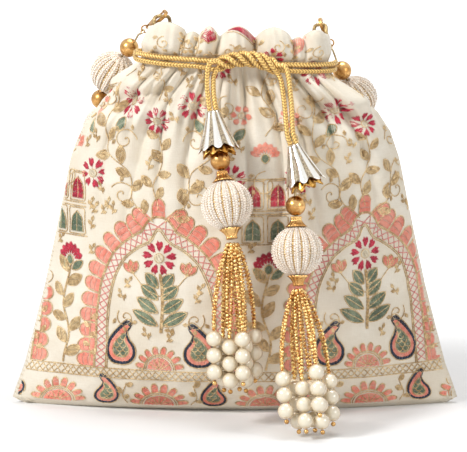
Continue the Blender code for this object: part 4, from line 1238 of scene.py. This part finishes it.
def drawstring_route(side, cone, starts):
    """From a tassel through the knot, round the casing and back, as the solid cord lies."""
    neck = NECK_WIDTH / 2
    half = CORD_STACK / 2
    shares = np.linspace(1, 0, 13)
    order = slice(None) if side < 0 else slice(None, None, -1)
    first = [half_knot(starts[0], share) for share in shares[order]]
    last = [half_knot(starts[1], share) for share in shares[::-1][order]]

    def at(x, y, z):
        return Vector((-side * x, y, -side * z))

    def beside(x, inset, sign, z):
        point = lane(x, inset, sign)
        return at(point.x, point.y, z)

    def from_side(out, y, z):
        return at(-neck - out * MM, y * MM, z)

    # On the right the knot ends 2.6 mm further out than 0.40, so that cord folds back on itself
    # here and where it comes back to the knot. The solid drawstring_right does the same.
    to_back = [beside(share * neck, -OUTER_LANE, -1, -half) for share in (-0.40, -0.72)]
    to_back += [from_side(-2.2, -11.2, -half), from_side(3.1, -5.5, -half), from_side(3.9, -1.0, -1.5 * MM)]
    to_back += [from_side(4.1, 1.9, -0.7 * MM), from_side(2.8, 4.4, 0.5 * MM), from_side(0.0, 5.1, 1.3 * MM)]
    to_back += [from_side(-3.2, 5.0, half), from_side(-6.2, 5.6, half)]
    shares_round = (-0.8, -0.6, -0.4, -0.2, 0.0, 0.2, 0.4, 0.62, 0.78, 0.88)
    around = [beside(share * neck, INNER_LANE, 1, half) for share in shares_round]
    around.append(at(neck - INNER_LANE, 0, half))
    around += [beside(share * neck, INNER_LANE, -1, half) for share in shares_round[:0:-1]]
    around += [beside(-share * neck, INNER_LANE, -1, half) for share in (0.78, 0.88)]
    turn = ((-3.5, -1.8), (-2.5, 0.7), (0.0, 1.75), (2.5, 0.7), (3.5, -1.8), (3.1, -5.5), (-2.2, -11.2))
    to_front = [from_side(out, y, half) for out, y in turn]
    to_front += [beside(share * neck, -OUTER_LANE, -1, half) for share in (-0.72, -0.40)]
    upright = first + to_back + around + to_front + last
    route = [Vector(settled(p.x, p.y, NECK_HEIGHT + p.z)) for p in upright]
    return tail(route[0], cone, -side)[::-1] + route + tail(route[-1], cone, -side)


def round_tube(name, points, radius_at, sides, material):
    """A tube along points; radius_at gives its radii from the run and the turn round it.

    Its UV map holds the run in millimetres and the turn as a share of the way round.
    """
    points = np.array([tuple(p) for p in points])
    ways = unit(np.gradient(points, axis=0))
    side = unit(np.cross(ways[0], (0.31, 0.52, 0.8)))
    across = [side]
    for way in ways[1:]:
        side = unit(side - way * np.dot(side, way))
        across.append(side)
    across = np.array(across)
    over = np.cross(ways, across)
    run = run_along(points)
    turn = np.arange(sides) * 2 * math.pi / sides
    radius = np.broadcast_to(radius_at(run[:, None], turn[None, :]), (len(points), sides))[:, :, None]
    rings = points[:, None] + radius * (
        across[:, None] * np.cos(turn)[None, :, None] + over[:, None] * np.sin(turn)[None, :, None]
    )
    count = len(points)
    verts = np.concatenate([rings.reshape(-1, 3), points[:1], points[-1:]])
    faces, places = [], []
    for i in range(count - 1):
        for k in range(sides):
            after = (k + 1) % sides
            faces.append((i * sides + k, i * sides + after, (i + 1) * sides + after, (i + 1) * sides + k))
            places += [(run[i], k), (run[i], k + 1), (run[i + 1], k + 1), (run[i + 1], k)]
    for k in range(sides):
        after = (k + 1) % sides
        faces.append((count * sides, after, k))
        faces.append((count * sides + 1, (count - 1) * sides + k, (count - 1) * sides + after))
        places += [(0, k)] * 3 + [(run[-1], k)] * 3
    mesh = new_mesh(name, verts, faces)
    uv = np.array(places) * (1 / MM, 1 / sides)
    mesh.uv_layers.new(name="run").data.foreach_set("uv", uv.ravel())
    mesh.shade_smooth()
    return add(name, mesh, material)


PLAIT = 1.55 * MM
PLAIT_COLUMNS = 4


def braid_height(run, turn):
    """Height of a braid's threads, from 0 to 1: columns of stitches that slant in turn."""
    column = turn * PLAIT_COLUMNS / (2 * math.pi)
    slant = 1 - np.abs(np.mod(column, 2) - 1)
    furrow = np.abs(2 * np.mod(column, 1) - 1) ** 4
    return np.abs(np.sin(math.pi * (run / PLAIT + 0.9 * slant))) ** 0.7 * (1 - 0.5 * furrow)


def braid_with_painted_shade(name, pale, deep):
    """Gold thread, pale on top of each stitch and deep in the furrows between them: painted highlight on the
    stitches and painted shade in the furrows.
    """
    cord, start = finish(name, Metallic=0.45, Roughness=0.34, Sheen_Weight=0.2)
    run = start.node("ShaderNodeUVMap", {"uv_map": "run"})
    length, around = (run.node("ShaderNodeSeparateXYZ", inputs={0: run}, output=k) for k in (0, 1))
    column = around * PLAIT_COLUMNS
    wave = (length * (MM / PLAIT) + column.maths("PINGPONG", 1.0) * 0.9) * math.pi
    side = (column.maths("FRACT") * 2.0 - 1.0).maths("ABSOLUTE")
    height = wave.maths("SINE").maths("ABSOLUTE") * (1.0 - side * side * side * 0.6)
    twist = (wave * 5.0 + column * 3.0).maths("SINE")
    # Painted light and shade: the deep colour lies in the braid's furrows and the pale one on the stitches'
    # tops
    (height * 0.9 + twist * 0.08).between(0.08, 0.72).colours(deep, pale).feed("Base Color")
    (height * 0.8 + twist * 0.15).bump(0.6, 0.0003)
    return cord


CONES = {side: tassel_place(side)[2] for side in TASSELS}
# The pale colour is the braid's painted highlight and the deep one its painted shade
gold_cord = braid_with_painted_shade("gold_braid", colour(242, 205, 124), colour(150, 104, 40))
QUARTER = math.pi / 4
for name, side, cone, starts in (
    ("drawstring_left", -1, CONES["right"], (-QUARTER, QUARTER)),
    ("drawstring_right", 1, CONES["left"], (5 * QUARTER, 3 * QUARTER)),
):
    corners = np.array([tuple(p) for p in smooth_route(drawstring_route(side, cone, starts))])
    run = run_along(corners)
    marks = np.linspace(0, run[-1], int(run[-1] / CORD_STEP))
    path = [Vector(p) for p in points_at(corners, run, marks)]
    radius = CORD_DIAMETER / 2

    def plaited(run, turn):
        return radius * (0.86 + 0.18 * braid_height(run, turn))

    cord = round_tube(f"braided_{name}", path, plaited, CORD_SIDES, gold_cord)
    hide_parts(name)
    bent = [tuple(cone @ Vector((0, 0, height * MM))) for height in (10, 1)]
    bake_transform(cord)
    length = sum((b - a).length for a, b in zip(path, path[1:]))


# Thread loops
# Gold thread wound closely round a core, sewn down behind the frill at both its ends. The
# handle's clasps hook on them.

LOOP_INSET = 5 * MM
LOOP_CENTRE_X = 1.5 * MM
LOOP_THREAD = 1.8 * MM
LOOP_HALF = 4.0 * MM
LOOP_RISE = 3.0 * MM
LOOP_REACH = 4.3 * MM
RIM_SLOPE = 0.12
LOOP_SIDES = 12
WINDING = 1.1 * MM


def behind_frill(x):
    """How far back a thread lies against the frill's back face at x."""
    half_width, half_depth, power, edge = bag_size(NECK_HEIGHT + 0.75 * FRILL_HEIGHT)
    room = max(1 - (abs(x - FRILL_SHIFT) / half_width) ** power, 0)
    return half_depth * room**edge + 0.45 * MM + CORD_GAP + LOOP_THREAD / 2 + 0.35 * MM


def loop_route(crest, axis, out):
    """Up from one foot, over the crest on the handle's axis, and down to the other."""
    over = [crest + axis * (out * share * LOOP_HALF) for share in (-0.25, 0, 0.25)]
    feet = []
    limit = FRILL_WIDTH / 2 - 1.5 * MM
    for share in (-1, 1):
        x = crest.x + out * share * LOOP_HALF
        x = min(max(x, FRILL_SHIFT - limit), FRILL_SHIFT + limit)
        wall = behind_frill(x)
        top = Vector((x, max(wall, crest.y - LOOP_REACH), crest.z - 2.6 * MM))
        low = Vector((x, wall, crest.z - LOOP_RISE - 3.5 * MM))
        end = over[share + 1]
        bend = Vector((end.x + 0.75 * (x - end.x), end.y + 0.2 * (top.y - end.y), crest.z - 0.5 * MM))
        feet.append([bend, top, top.lerp(low, 0.55), low])
    return feet[0][::-1] + over + feet[1]


loop_span = FRILL_WIDTH - 2 * LOOP_INSET
behind = behind_frill(FRILL_SHIFT - (loop_span / 2 - LOOP_CENTRE_X - LOOP_HALF)) - 0.6 * MM
rim = NECK_HEIGHT + FRILL_HEIGHT - RIM_SLOPE * behind * 0.8
crests = []
for sign in (-1, 1):
    x, y, z = settled(LOOP_CENTRE_X + sign * loop_span / 2, behind, rim)
    crests.append(Vector((x, behind, z + LOOP_RISE)))
handle_axis = (crests[1] - crests[0]).normalized()
wound_thread = thread_finish("wound_gold_thread", colour(206, 180, 124), colour(122, 92, 48), 0.45, 0.4)
for name, crest, out in (("thread_loop_left", crests[0], -1), ("thread_loop_right", crests[1], 1)):

    def wound(run, turn):
        ridge = np.abs(np.sin(math.pi * run / WINDING + turn / 2))
        return LOOP_THREAD / 2 * (0.82 + 0.26 * ridge)

    route = smooth_route(loop_route(crest, handle_axis, out))
    loop = round_tube(f"wound_{name}", route, wound, LOOP_SIDES, wound_thread)
    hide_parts(name)
    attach(loop, "pouch")


# Clasps and rings
# Cast lobster clasps and bent jump rings, plated in antique gold that has dulled in the
# hollows. The handle's wire ends in an eye through each ring.


def plated_finish(name, bright, dull, roughness):
    """Plated metal, duller and rougher where it has worn."""
    metal, start = finish(name, Metallic=1.0)
    speck = start.noise(1400, 2)
    wear = (start.noise(160, 5) * 0.7 + speck * 0.3).between(0.38, 0.66)
    wear.colours(dull, bright).feed("Base Color")
    (0.12 * (1.0 - wear) + roughness).feed("Roughness")
    speck.bump(0.12, 0.0001)
    return metal


antique_gold = plated_finish("antique_gold", colour(228, 186, 122), colour(176, 128, 72), 0.2)
beading_wire = plated_finish("beading_wire", colour(214, 196, 158), colour(150, 128, 88), 0.35)


def paint(node, material):
    """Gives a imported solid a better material."""
    mesh = frame["nodes"][node].data
    mesh.materials.clear()
    mesh.materials.append(material)
    mesh.shade_smooth()


for side in ("left", "right"):
    for node in (f"clasp_body_{side}", f"clasp_lever_{side}", f"clasp_pin_{side}", f"jump_ring_{side}"):
        paint(node, antique_gold)
paint("handle_string", beading_wire)


# Handle beads
# Eight wooden balls between nine plated beads on the wire. Each ball is covered with ribs of
# white seed beads, sewn on in rows from pole to pole, with a row of gold ones in each furrow.

HANDLE_BALLS = 8
HANDLE_BALL = 11.5 * MM
HANDLE_BEAD = 4.8 * MM
HANDLE_RIBS = 14
WHITE_SEED = 1.7 * MM
GOLD_SEED = 1.3 * MM
# The rows of seed beads end this many degrees from a ball's middle
SEED_REACH = 78


def ring_quads(rows, steps, closed):
    """Faces between rings of points one after another, with their corners' UVs in steps and rows."""
    faces, marks = [], []
    for i in range(rows if closed else rows - 1):
        low, high = i * steps, (i + 1) % rows * steps
        for k in range(steps):
            after = (k + 1) % steps
            faces.append((low + k, high + k, high + after, low + after))
            marks += [(k, i), (k, i + 1), (k + 1, i + 1), (k + 1, i)]
    return faces, marks


def turned_piece(name, verts, faces, uv, place, materials):
    """A smooth piece made round +Z, with its UV map, moved to its place."""
    mesh = new_mesh(name, verts, faces)
    mesh.uv_layers.new(name="turned").data.foreach_set("uv", uv.ravel())
    mesh.transform(place)
    bm = bmesh.new()
    bm.from_mesh(mesh)
    bmesh.ops.recalc_face_normals(bm, faces=bm.faces)
    bm.to_mesh(mesh)
    bm.free()
    mesh.shade_smooth()
    return add(name, mesh, *materials)


def revolved(name, profile, steps, place, material, ribs=0, depth=0.0, inner=0.0):
    """A closed profile (radius, height) turned about a place's +Z, with ribs pressed in."""
    turn = np.arange(steps) * 2 * math.pi / steps
    wave = 0.5 - 0.5 * np.cos(ribs * turn)
    verts = []
    for radius, height in profile:
        pressed = radius - depth * wave * (radius > inner)
        verts += [(r * math.cos(a), r * math.sin(a), height) for r, a in zip(pressed, turn)]
    faces, marks = ring_quads(len(profile), steps, True)
    uv = np.array(marks) * (1 / steps, 1 / len(profile))
    return turned_piece(name, verts, faces, uv, place, (material,))


def bored_ball(radius, bore, bands):
    """A ball's profile with a hole through it."""
    limit = math.acos(bore / radius)
    angles = np.linspace(limit, -limit, bands + 1)
    return [(radius * math.cos(a), radius * math.sin(a)) for a in angles]


def seed_rows(place, radius, ribs, offsets, size, pitch, sunk):
    """Places of seed beads in rows from pole to pole, smaller where the ribs close in."""
    spots, outs, ways, girths = [], [], [], []
    count = int(radius * math.radians(2 * SEED_REACH) / pitch)
    for k in range(ribs):
        for n, offset in enumerate(offsets):
            raised = sunk * abs(2 * offset) ** 2
            turn = 2 * math.pi * (k + offset) / ribs
            east, north = math.cos(turn), math.sin(turn)
            staggered = np.linspace(-SEED_REACH, SEED_REACH, count) + (n % 2) * SEED_REACH / count
            for angle in np.radians(staggered):
                room = 2 * math.pi * radius * math.cos(angle) / ribs
                girth = min(1.0, 0.34 * room / size)
                out = Vector((east * math.cos(angle), north * math.cos(angle), math.sin(angle)))
                way = Vector((-east * math.sin(angle), -north * math.sin(angle), math.cos(angle)))
                high = radius - raised * min(room / size, 3) / 3
                spots.append(place @ (out * high + way * chance.normal(0, 0.1 * MM)))
                outs.append(place.to_3x3() @ out)
                ways.append(place.to_3x3() @ way)
                girths.append(max(girth, 0.45) * chance.uniform(0.92, 1.05))
    facts = {"direction": ways, "outward": outs, "length": np.full(len(spots), pitch), "girth": girths}
    return spots, facts


def seeded_ball(name, place, radius, ribs, body, sides):
    """A ball in its coat of seed beads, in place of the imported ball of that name."""
    bore = 1.0 * MM
    profile = bored_ball(radius - 0.95 * MM, bore, 20)
    core = revolved(f"{name}_core", profile, 8 * ribs, place, bead_cloth, ribs, 1.5 * MM, 6 * bore)
    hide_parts(name)
    white = seed_rows(place, radius - 0.75 * MM, ribs, (-0.27, 0, 0.27), WHITE_SEED, 1.2 * MM, 2.6 * MM)
    gold = seed_rows(place, radius - 0.8 * MM, ribs, (0.5,), GOLD_SEED, 1.15 * MM, 1.3 * MM)
    for label, beads, size, coat in (
        ("white", white, WHITE_SEED, white_seeds),
        ("gold", gold, GOLD_SEED, pale_gold),
    ):
        values = {"Width": size, "Height": size, "Overlap": 1.0, "Thread": coat}
        values |= {"Sides": sides, "Rings": sides - 2}
        piece = grown(f"{name}_{label}_seeds", *beads, STITCHES, values)
        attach(piece, body)
    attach(core, body)


def glass_finish(name, pale, deep, metallic, roughness):
    """Seed-bead glass, with a slightly different tone from bead to bead."""
    coat = {"Coat_Weight": 0.5, "Coat_Roughness": 0.08}
    glass, start = finish(name, Metallic=metallic, Roughness=roughness, **coat)
    start.noise(800, 1).between(0.4, 0.6).colours(deep, pale).feed("Base Color")
    return glass


white_seeds = glass_finish("white_seed_beads", colour(255, 247, 236), colour(250, 236, 220), 0.0, 0.4)
pale_gold = glass_finish("pale_gold_beads", colour(248, 220, 160), colour(220, 180, 112), 0.4, 0.3)
gold_seeds = glass_finish("gold_seed_beads", colour(255, 226, 150), colour(182, 116, 36), 0.6, 0.14)
bead_cloth = thread_finish("bead_ground", colour(252, 240, 224), colour(246, 230, 210), 0.6)


def centre_of(node):
    low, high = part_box(node)
    return (low + high) / 2


balls = [centre_of(f"handle_ball_{k + 1}") for k in range(HANDLE_BALLS)]
beads = [centre_of(f"handle_bead_{k + 1}") for k in range(HANDLE_BALLS + 1)]
for k, spot in enumerate(beads, 1):
    way = balls[k - 1] - spot if k <= HANDLE_BALLS else spot - balls[-1]
    place = Matrix.Translation(spot) @ along(way)
    profile = bored_ball(HANDLE_BEAD, 0.85 * MM, 16)
    bead = revolved(f"plated_handle_bead_{k}", profile, 28, place, antique_gold)
    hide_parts(f"handle_bead_{k}")
    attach(bead, "handle")
for k, spot in enumerate(balls, 1):
    place = Matrix.Translation(spot) @ along(beads[k] - beads[k - 1])
    seeded_ball(f"handle_ball_{k}", place, HANDLE_BALL, HANDLE_RIBS, "handle", 5)


# Tassels
# Each hangs from its cord's two ends: a cone of pleated silver foil cloth lined with gold, a
# plated bead, a beaded ball between two fluted caps, all on one string.

FLUTES = 8
CAP_FLUTES = 12
TASSEL_RIBS = 16


def foil_finish():
    """Silver foil on the flutes' crests, and dull woven strips in the furrows between."""
    foil, start = finish("silver_foil_cloth", Coat_Weight=0.3, Coat_Roughness=0.15)
    turned_uv = start.node("ShaderNodeUVMap", {"uv_map": "turned"})
    around = turned_uv.node("ShaderNodeSeparateXYZ", inputs={0: turned_uv})
    crest = (around * (2 * math.pi * FLUTES)).maths("COSINE").between(-0.35, -0.1)
    weave = start.noise(1500, 2)
    strip = weave.between(0.35, 0.65).colours(colour(112, 96, 76), colour(196, 180, 150))
    crest.colours(strip, colour(240, 238, 232)).feed("Base Color")
    (crest * 0.95).feed("Metallic")
    (0.62 - crest * 0.46).feed("Roughness")
    weave.bump(0.25, 0.0002)
    return foil


silver_foil = foil_finish()
gold_foil = plated_finish("gold_foil", colour(240, 198, 114), colour(176, 122, 48), 0.24)


def foil_cone(name, place, top, mouth, length, wall, lip, material, phase=0.0):
    """A fluted cone of cloth, its lip cut in points, with its gold lining inside."""
    steps, bands = 12 * FLUTES, 18
    turn = np.arange(steps) * 2 * math.pi / steps
    ridge = 0.5 + 0.5 * np.cos(FLUTES * turn + phase)
    outer = []
    for share in np.linspace(0, 1, bands + 1):
        radius = top + (mouth - top) * share**1.12
        radius = radius - (0.35 * MM + 1.5 * MM * share) * (1 - ridge) ** 1.3
        height = -length * share + lip * share**3 * (1 - ridge) - 0.15 * lip * share**3
        outer.append(np.stack([radius * np.cos(turn), radius * np.sin(turn), height], 1))
    inner = []
    for ring in outer[::-1]:
        closer = np.maximum(1 - wall / np.hypot(ring[:, 0], ring[:, 1]), 0.2)
        inner.append(ring * closer[:, None] ** (1, 1, 0))
    inner[-1][:, 2] -= 2 * wall
    rows = outer + inner
    verts = np.concatenate(rows + [[(0, 0, 0)], [(0, 0, -2 * wall)]])
    faces, marks = ring_quads(len(rows), steps, False)
    kinds = [int(i > bands) for i in range(len(rows) - 1) for _ in range(steps)]
    last = (len(rows) - 1) * steps
    for k in range(steps):
        after = (k + 1) % steps
        faces += [(len(verts) - 2, k, after), (len(verts) - 1, last + after, last + k)]
        marks += [(k, 0)] * 6
        kinds += [0, 1]
    uv = np.array(marks) * (1 / steps, 1 / len(rows))
    cone = turned_piece(name, verts, faces, uv, place, (material, gold_foil))
    cone.data.polygons.foreach_set("material_index", kinds)
    return cone


def cap_profile(bore):
    """A bell-shaped bead cap, its narrow end at the origin and its mouth below."""
    outside = [(2.5, 0), (2.85, -0.25), (2.85, -0.8), (2.6, -1.3), (3.1, -2.4), (4.2, -3.9), (5.6, -5.1)]
    within = [(5.1, -5.1), (3.9, -4.2), (2.7, -2.9), (2.1, -2.1), (bore / MM, -1.5)]
    return [(r * MM, z * MM) for r, z in outside + within] + [(bore, 0)]


for side in TASSELS:
    body = f"tassel_{side}"
    centre, upward, cone_place = tassel_place(side)
    sizes = (CONE_TOP, CONE_MOUTH, CONE_LENGTH, 0.5 * MM, 2.4 * MM)
    cone = foil_cone(f"foil_cone_{side}", cone_place, *sizes, silver_foil)
    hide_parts(f"tassel_cone_{side}")
    lower_down = cone_place @ Matrix.Translation((0, 0, -9 * MM))
    sizes = (3.4 * MM, 8.8 * MM, 13.4 * MM, 0.4 * MM, 2.2 * MM)
    frill = foil_cone(f"gold_frill_{side}", lower_down, *sizes, gold_foil, math.pi)

    def on_string(distance):
        return Matrix.Translation(centre + upward * distance) @ along(upward)

    bore = 1.05 * MM
    place = on_string(CAP_TOP + CORD_GAP + TASSEL_BEAD)
    profile = bored_ball(TASSEL_BEAD, bore, 20)
    bead = revolved(f"plated_tassel_bead_{side}", profile, 36, place, antique_gold)
    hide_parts(f"tassel_bead_{side}")
    flutes = (antique_gold, CAP_FLUTES, 0.45 * MM, 2.2 * MM)
    upper = revolved(f"fluted_upper_cap_{side}", cap_profile(bore), 72, on_string(CAP_TOP), *flutes)
    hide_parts(f"upper_cap_{side}")
    place = on_string(-CAP_TOP) @ Matrix.Rotation(math.pi, 4, "X")
    lower = revolved(f"fluted_lower_cap_{side}", cap_profile(bore), 72, place, *flutes)
    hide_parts(f"lower_cap_{side}")
    for piece, slot in (
        (cone, "silver_foil_cloth"),
        (frill, "silver_foil_cloth"),
        (bead, "gold_metal"),
        (upper, "gold_metal"),
        (lower, "gold_metal"),
    ):
        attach(piece, body)
    seeded_ball(f"tassel_ball_{side}", on_string(0), TASSEL_BALL, TASSEL_RIBS, body, 6)
    paint(f"tassel_string_{side}", beading_wire)


# Fringes
# Eight strings of gold seed beads hang from each lower cap and spread a little. Each is threaded
# double down to its first pearl, and ends in three pearls and a last gold bead.

STRANDS = 8
FRINGE_DROP = 1.8 * MM
STRAND_START = 2.1 * MM
FULLNESS = 0.8
STRAND_LENGTHS = {"left": (47.2 * MM, 43 * MM), "right": (49 * MM, 43 * MM)}
PEARL = 8 * MM
PEARLS = 3
END_SEED = 2.4 * MM
STRAND_SEED = 2.15 * MM
SEED_PITCH = 1.8 * MM
FLOOR_GAP = 1.6 * MM
PEARL_RINGS = {"left": (5.9 * MM, 10.8 * MM), "right": (6.2 * MM, 12.5 * MM)}
FRINGE_ENDS = {"left": Vector((0, -62 * MM, 18 * MM)), "right": Vector((37 * MM, -89 * MM, 5 * MM))}


def pearl_with_painted_shade():
    """Faux pearl: a cream body under a clear, slightly pink glaze, with painted shade that darkens it towards
    its rim.
    """
    pearl, start = finish("faux_pearl", Roughness=0.3, Coat_Weight=1.0, Coat_Roughness=0.2, Coat_IOR=1.9)
    # Painted shade: cream where the pearl faces the camera, dark yellow-brown towards its rim
    edge = start.node("ShaderNodeLayerWeight", inputs={"Blend": 0.4}, output=1)
    edge.colours(colour(247, 237, 213), colour(192, 160, 108)).feed("Base Color")
    return pearl


faux_pearl = pearl_with_painted_shade()


def strand_spots(top, down, outward, spread, length, runs):
    """Points on one strand, at distances down from the cap."""
    share = np.minimum(np.asarray(runs) / length, 1.0)
    swing = STRAND_START + (spread - STRAND_START) * np.sin(share * math.pi / 2) ** FULLNESS
    return np.array(top) + np.outer(runs, down) + np.outer(swing, outward)


for side, end in FRINGE_ENDS.items():
    centre, upward, cone_place = tassel_place(side)
    top = centre - upward * (CAP_TOP + FRINGE_DROP)
    down = (end - top).normalized()
    right = Vector((1, 0, 0))
    right = (right - down * right.dot(down)).normalized()
    other = down.cross(right)
    seeds, seed_ways, pearls, pearl_ways, ends, end_ways = [], [], [], [], [], []
    for k in range(STRANDS):
        angle = 2 * math.pi * (k + 0.5) / STRANDS
        spread = PEARL_RINGS[side][k % 2]
        outward = right * math.cos(angle) + other * math.sin(angle)
        foot = top + outward * spread
        tip = PEARLS * (PEARL + CORD_GAP) + END_SEED
        length = min(STRAND_LENGTHS[side][k % 2], (foot.z - FLOOR_GAP) / -down.z - tip)
        for sign in (-1, 1):
            runs = np.arange((0.9 + 0.5 * (sign > 0)) * MM, length - 0.5 * MM, SEED_PITCH)
            spots = strand_spots(top, down, outward, spread, length, runs)
            apart = 1.3 * MM * np.sin(math.pi * np.clip(runs / length, 0, 1) ** 0.8) ** 0.8
            spots = spots + np.outer(sign * apart, down.cross(outward))
            seeds.extend(spots)
            seed_ways.extend(unit(np.gradient(spots, axis=0) + chance.normal(0, 0.14 * MM, spots.shape)))
        runs = length + PEARL / 2 + np.arange(PEARLS) * (PEARL + CORD_GAP)
        pearls.extend(strand_spots(top, down, outward, spread, length, runs))
        pearl_ways.extend([down] * PEARLS)
        runs = np.array([length + PEARLS * (PEARL + CORD_GAP) + END_SEED / 2])
        ends.extend(strand_spots(top, down, outward, spread, length, runs))
        end_ways.append(down)
    nodes = [f"strand_{side}_{k + 1}" for k in range(STRANDS)]
    groups = (
        ("seed_strands", seeds, seed_ways, STRAND_SEED, SEED_PITCH, 7, 5, gold_seeds),
        ("pearls", pearls, pearl_ways, PEARL, PEARL, 24, 14, faux_pearl),
        ("end_beads", ends, end_ways, END_SEED, END_SEED, 12, 8, antique_gold),
    )
    for label, spots, ways, girth, length, sides, rings, coat in groups:
        ways = np.array([tuple(way) for way in ways])
        seeded = label == "seed_strands"
        facts = {
            "direction": ways,
            "outward": np.cross(ways, (0.2, 1.0, 0.1)),
            "length": np.full(len(spots), length),
            "girth": chance.uniform(0.94, 1.0, len(spots)) if seeded else np.ones(len(spots)),
        }
        values = {"Width": girth, "Height": girth, "Overlap": 1.0, "Thread": coat}
        values |= {"Sides": sides, "Rings": rings}
        piece = grown(f"{label}_{side}", spots, facts, STITCHES, values)
        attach(piece, f"fringe_{side}")
        if seeded:
            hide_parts(*nodes)
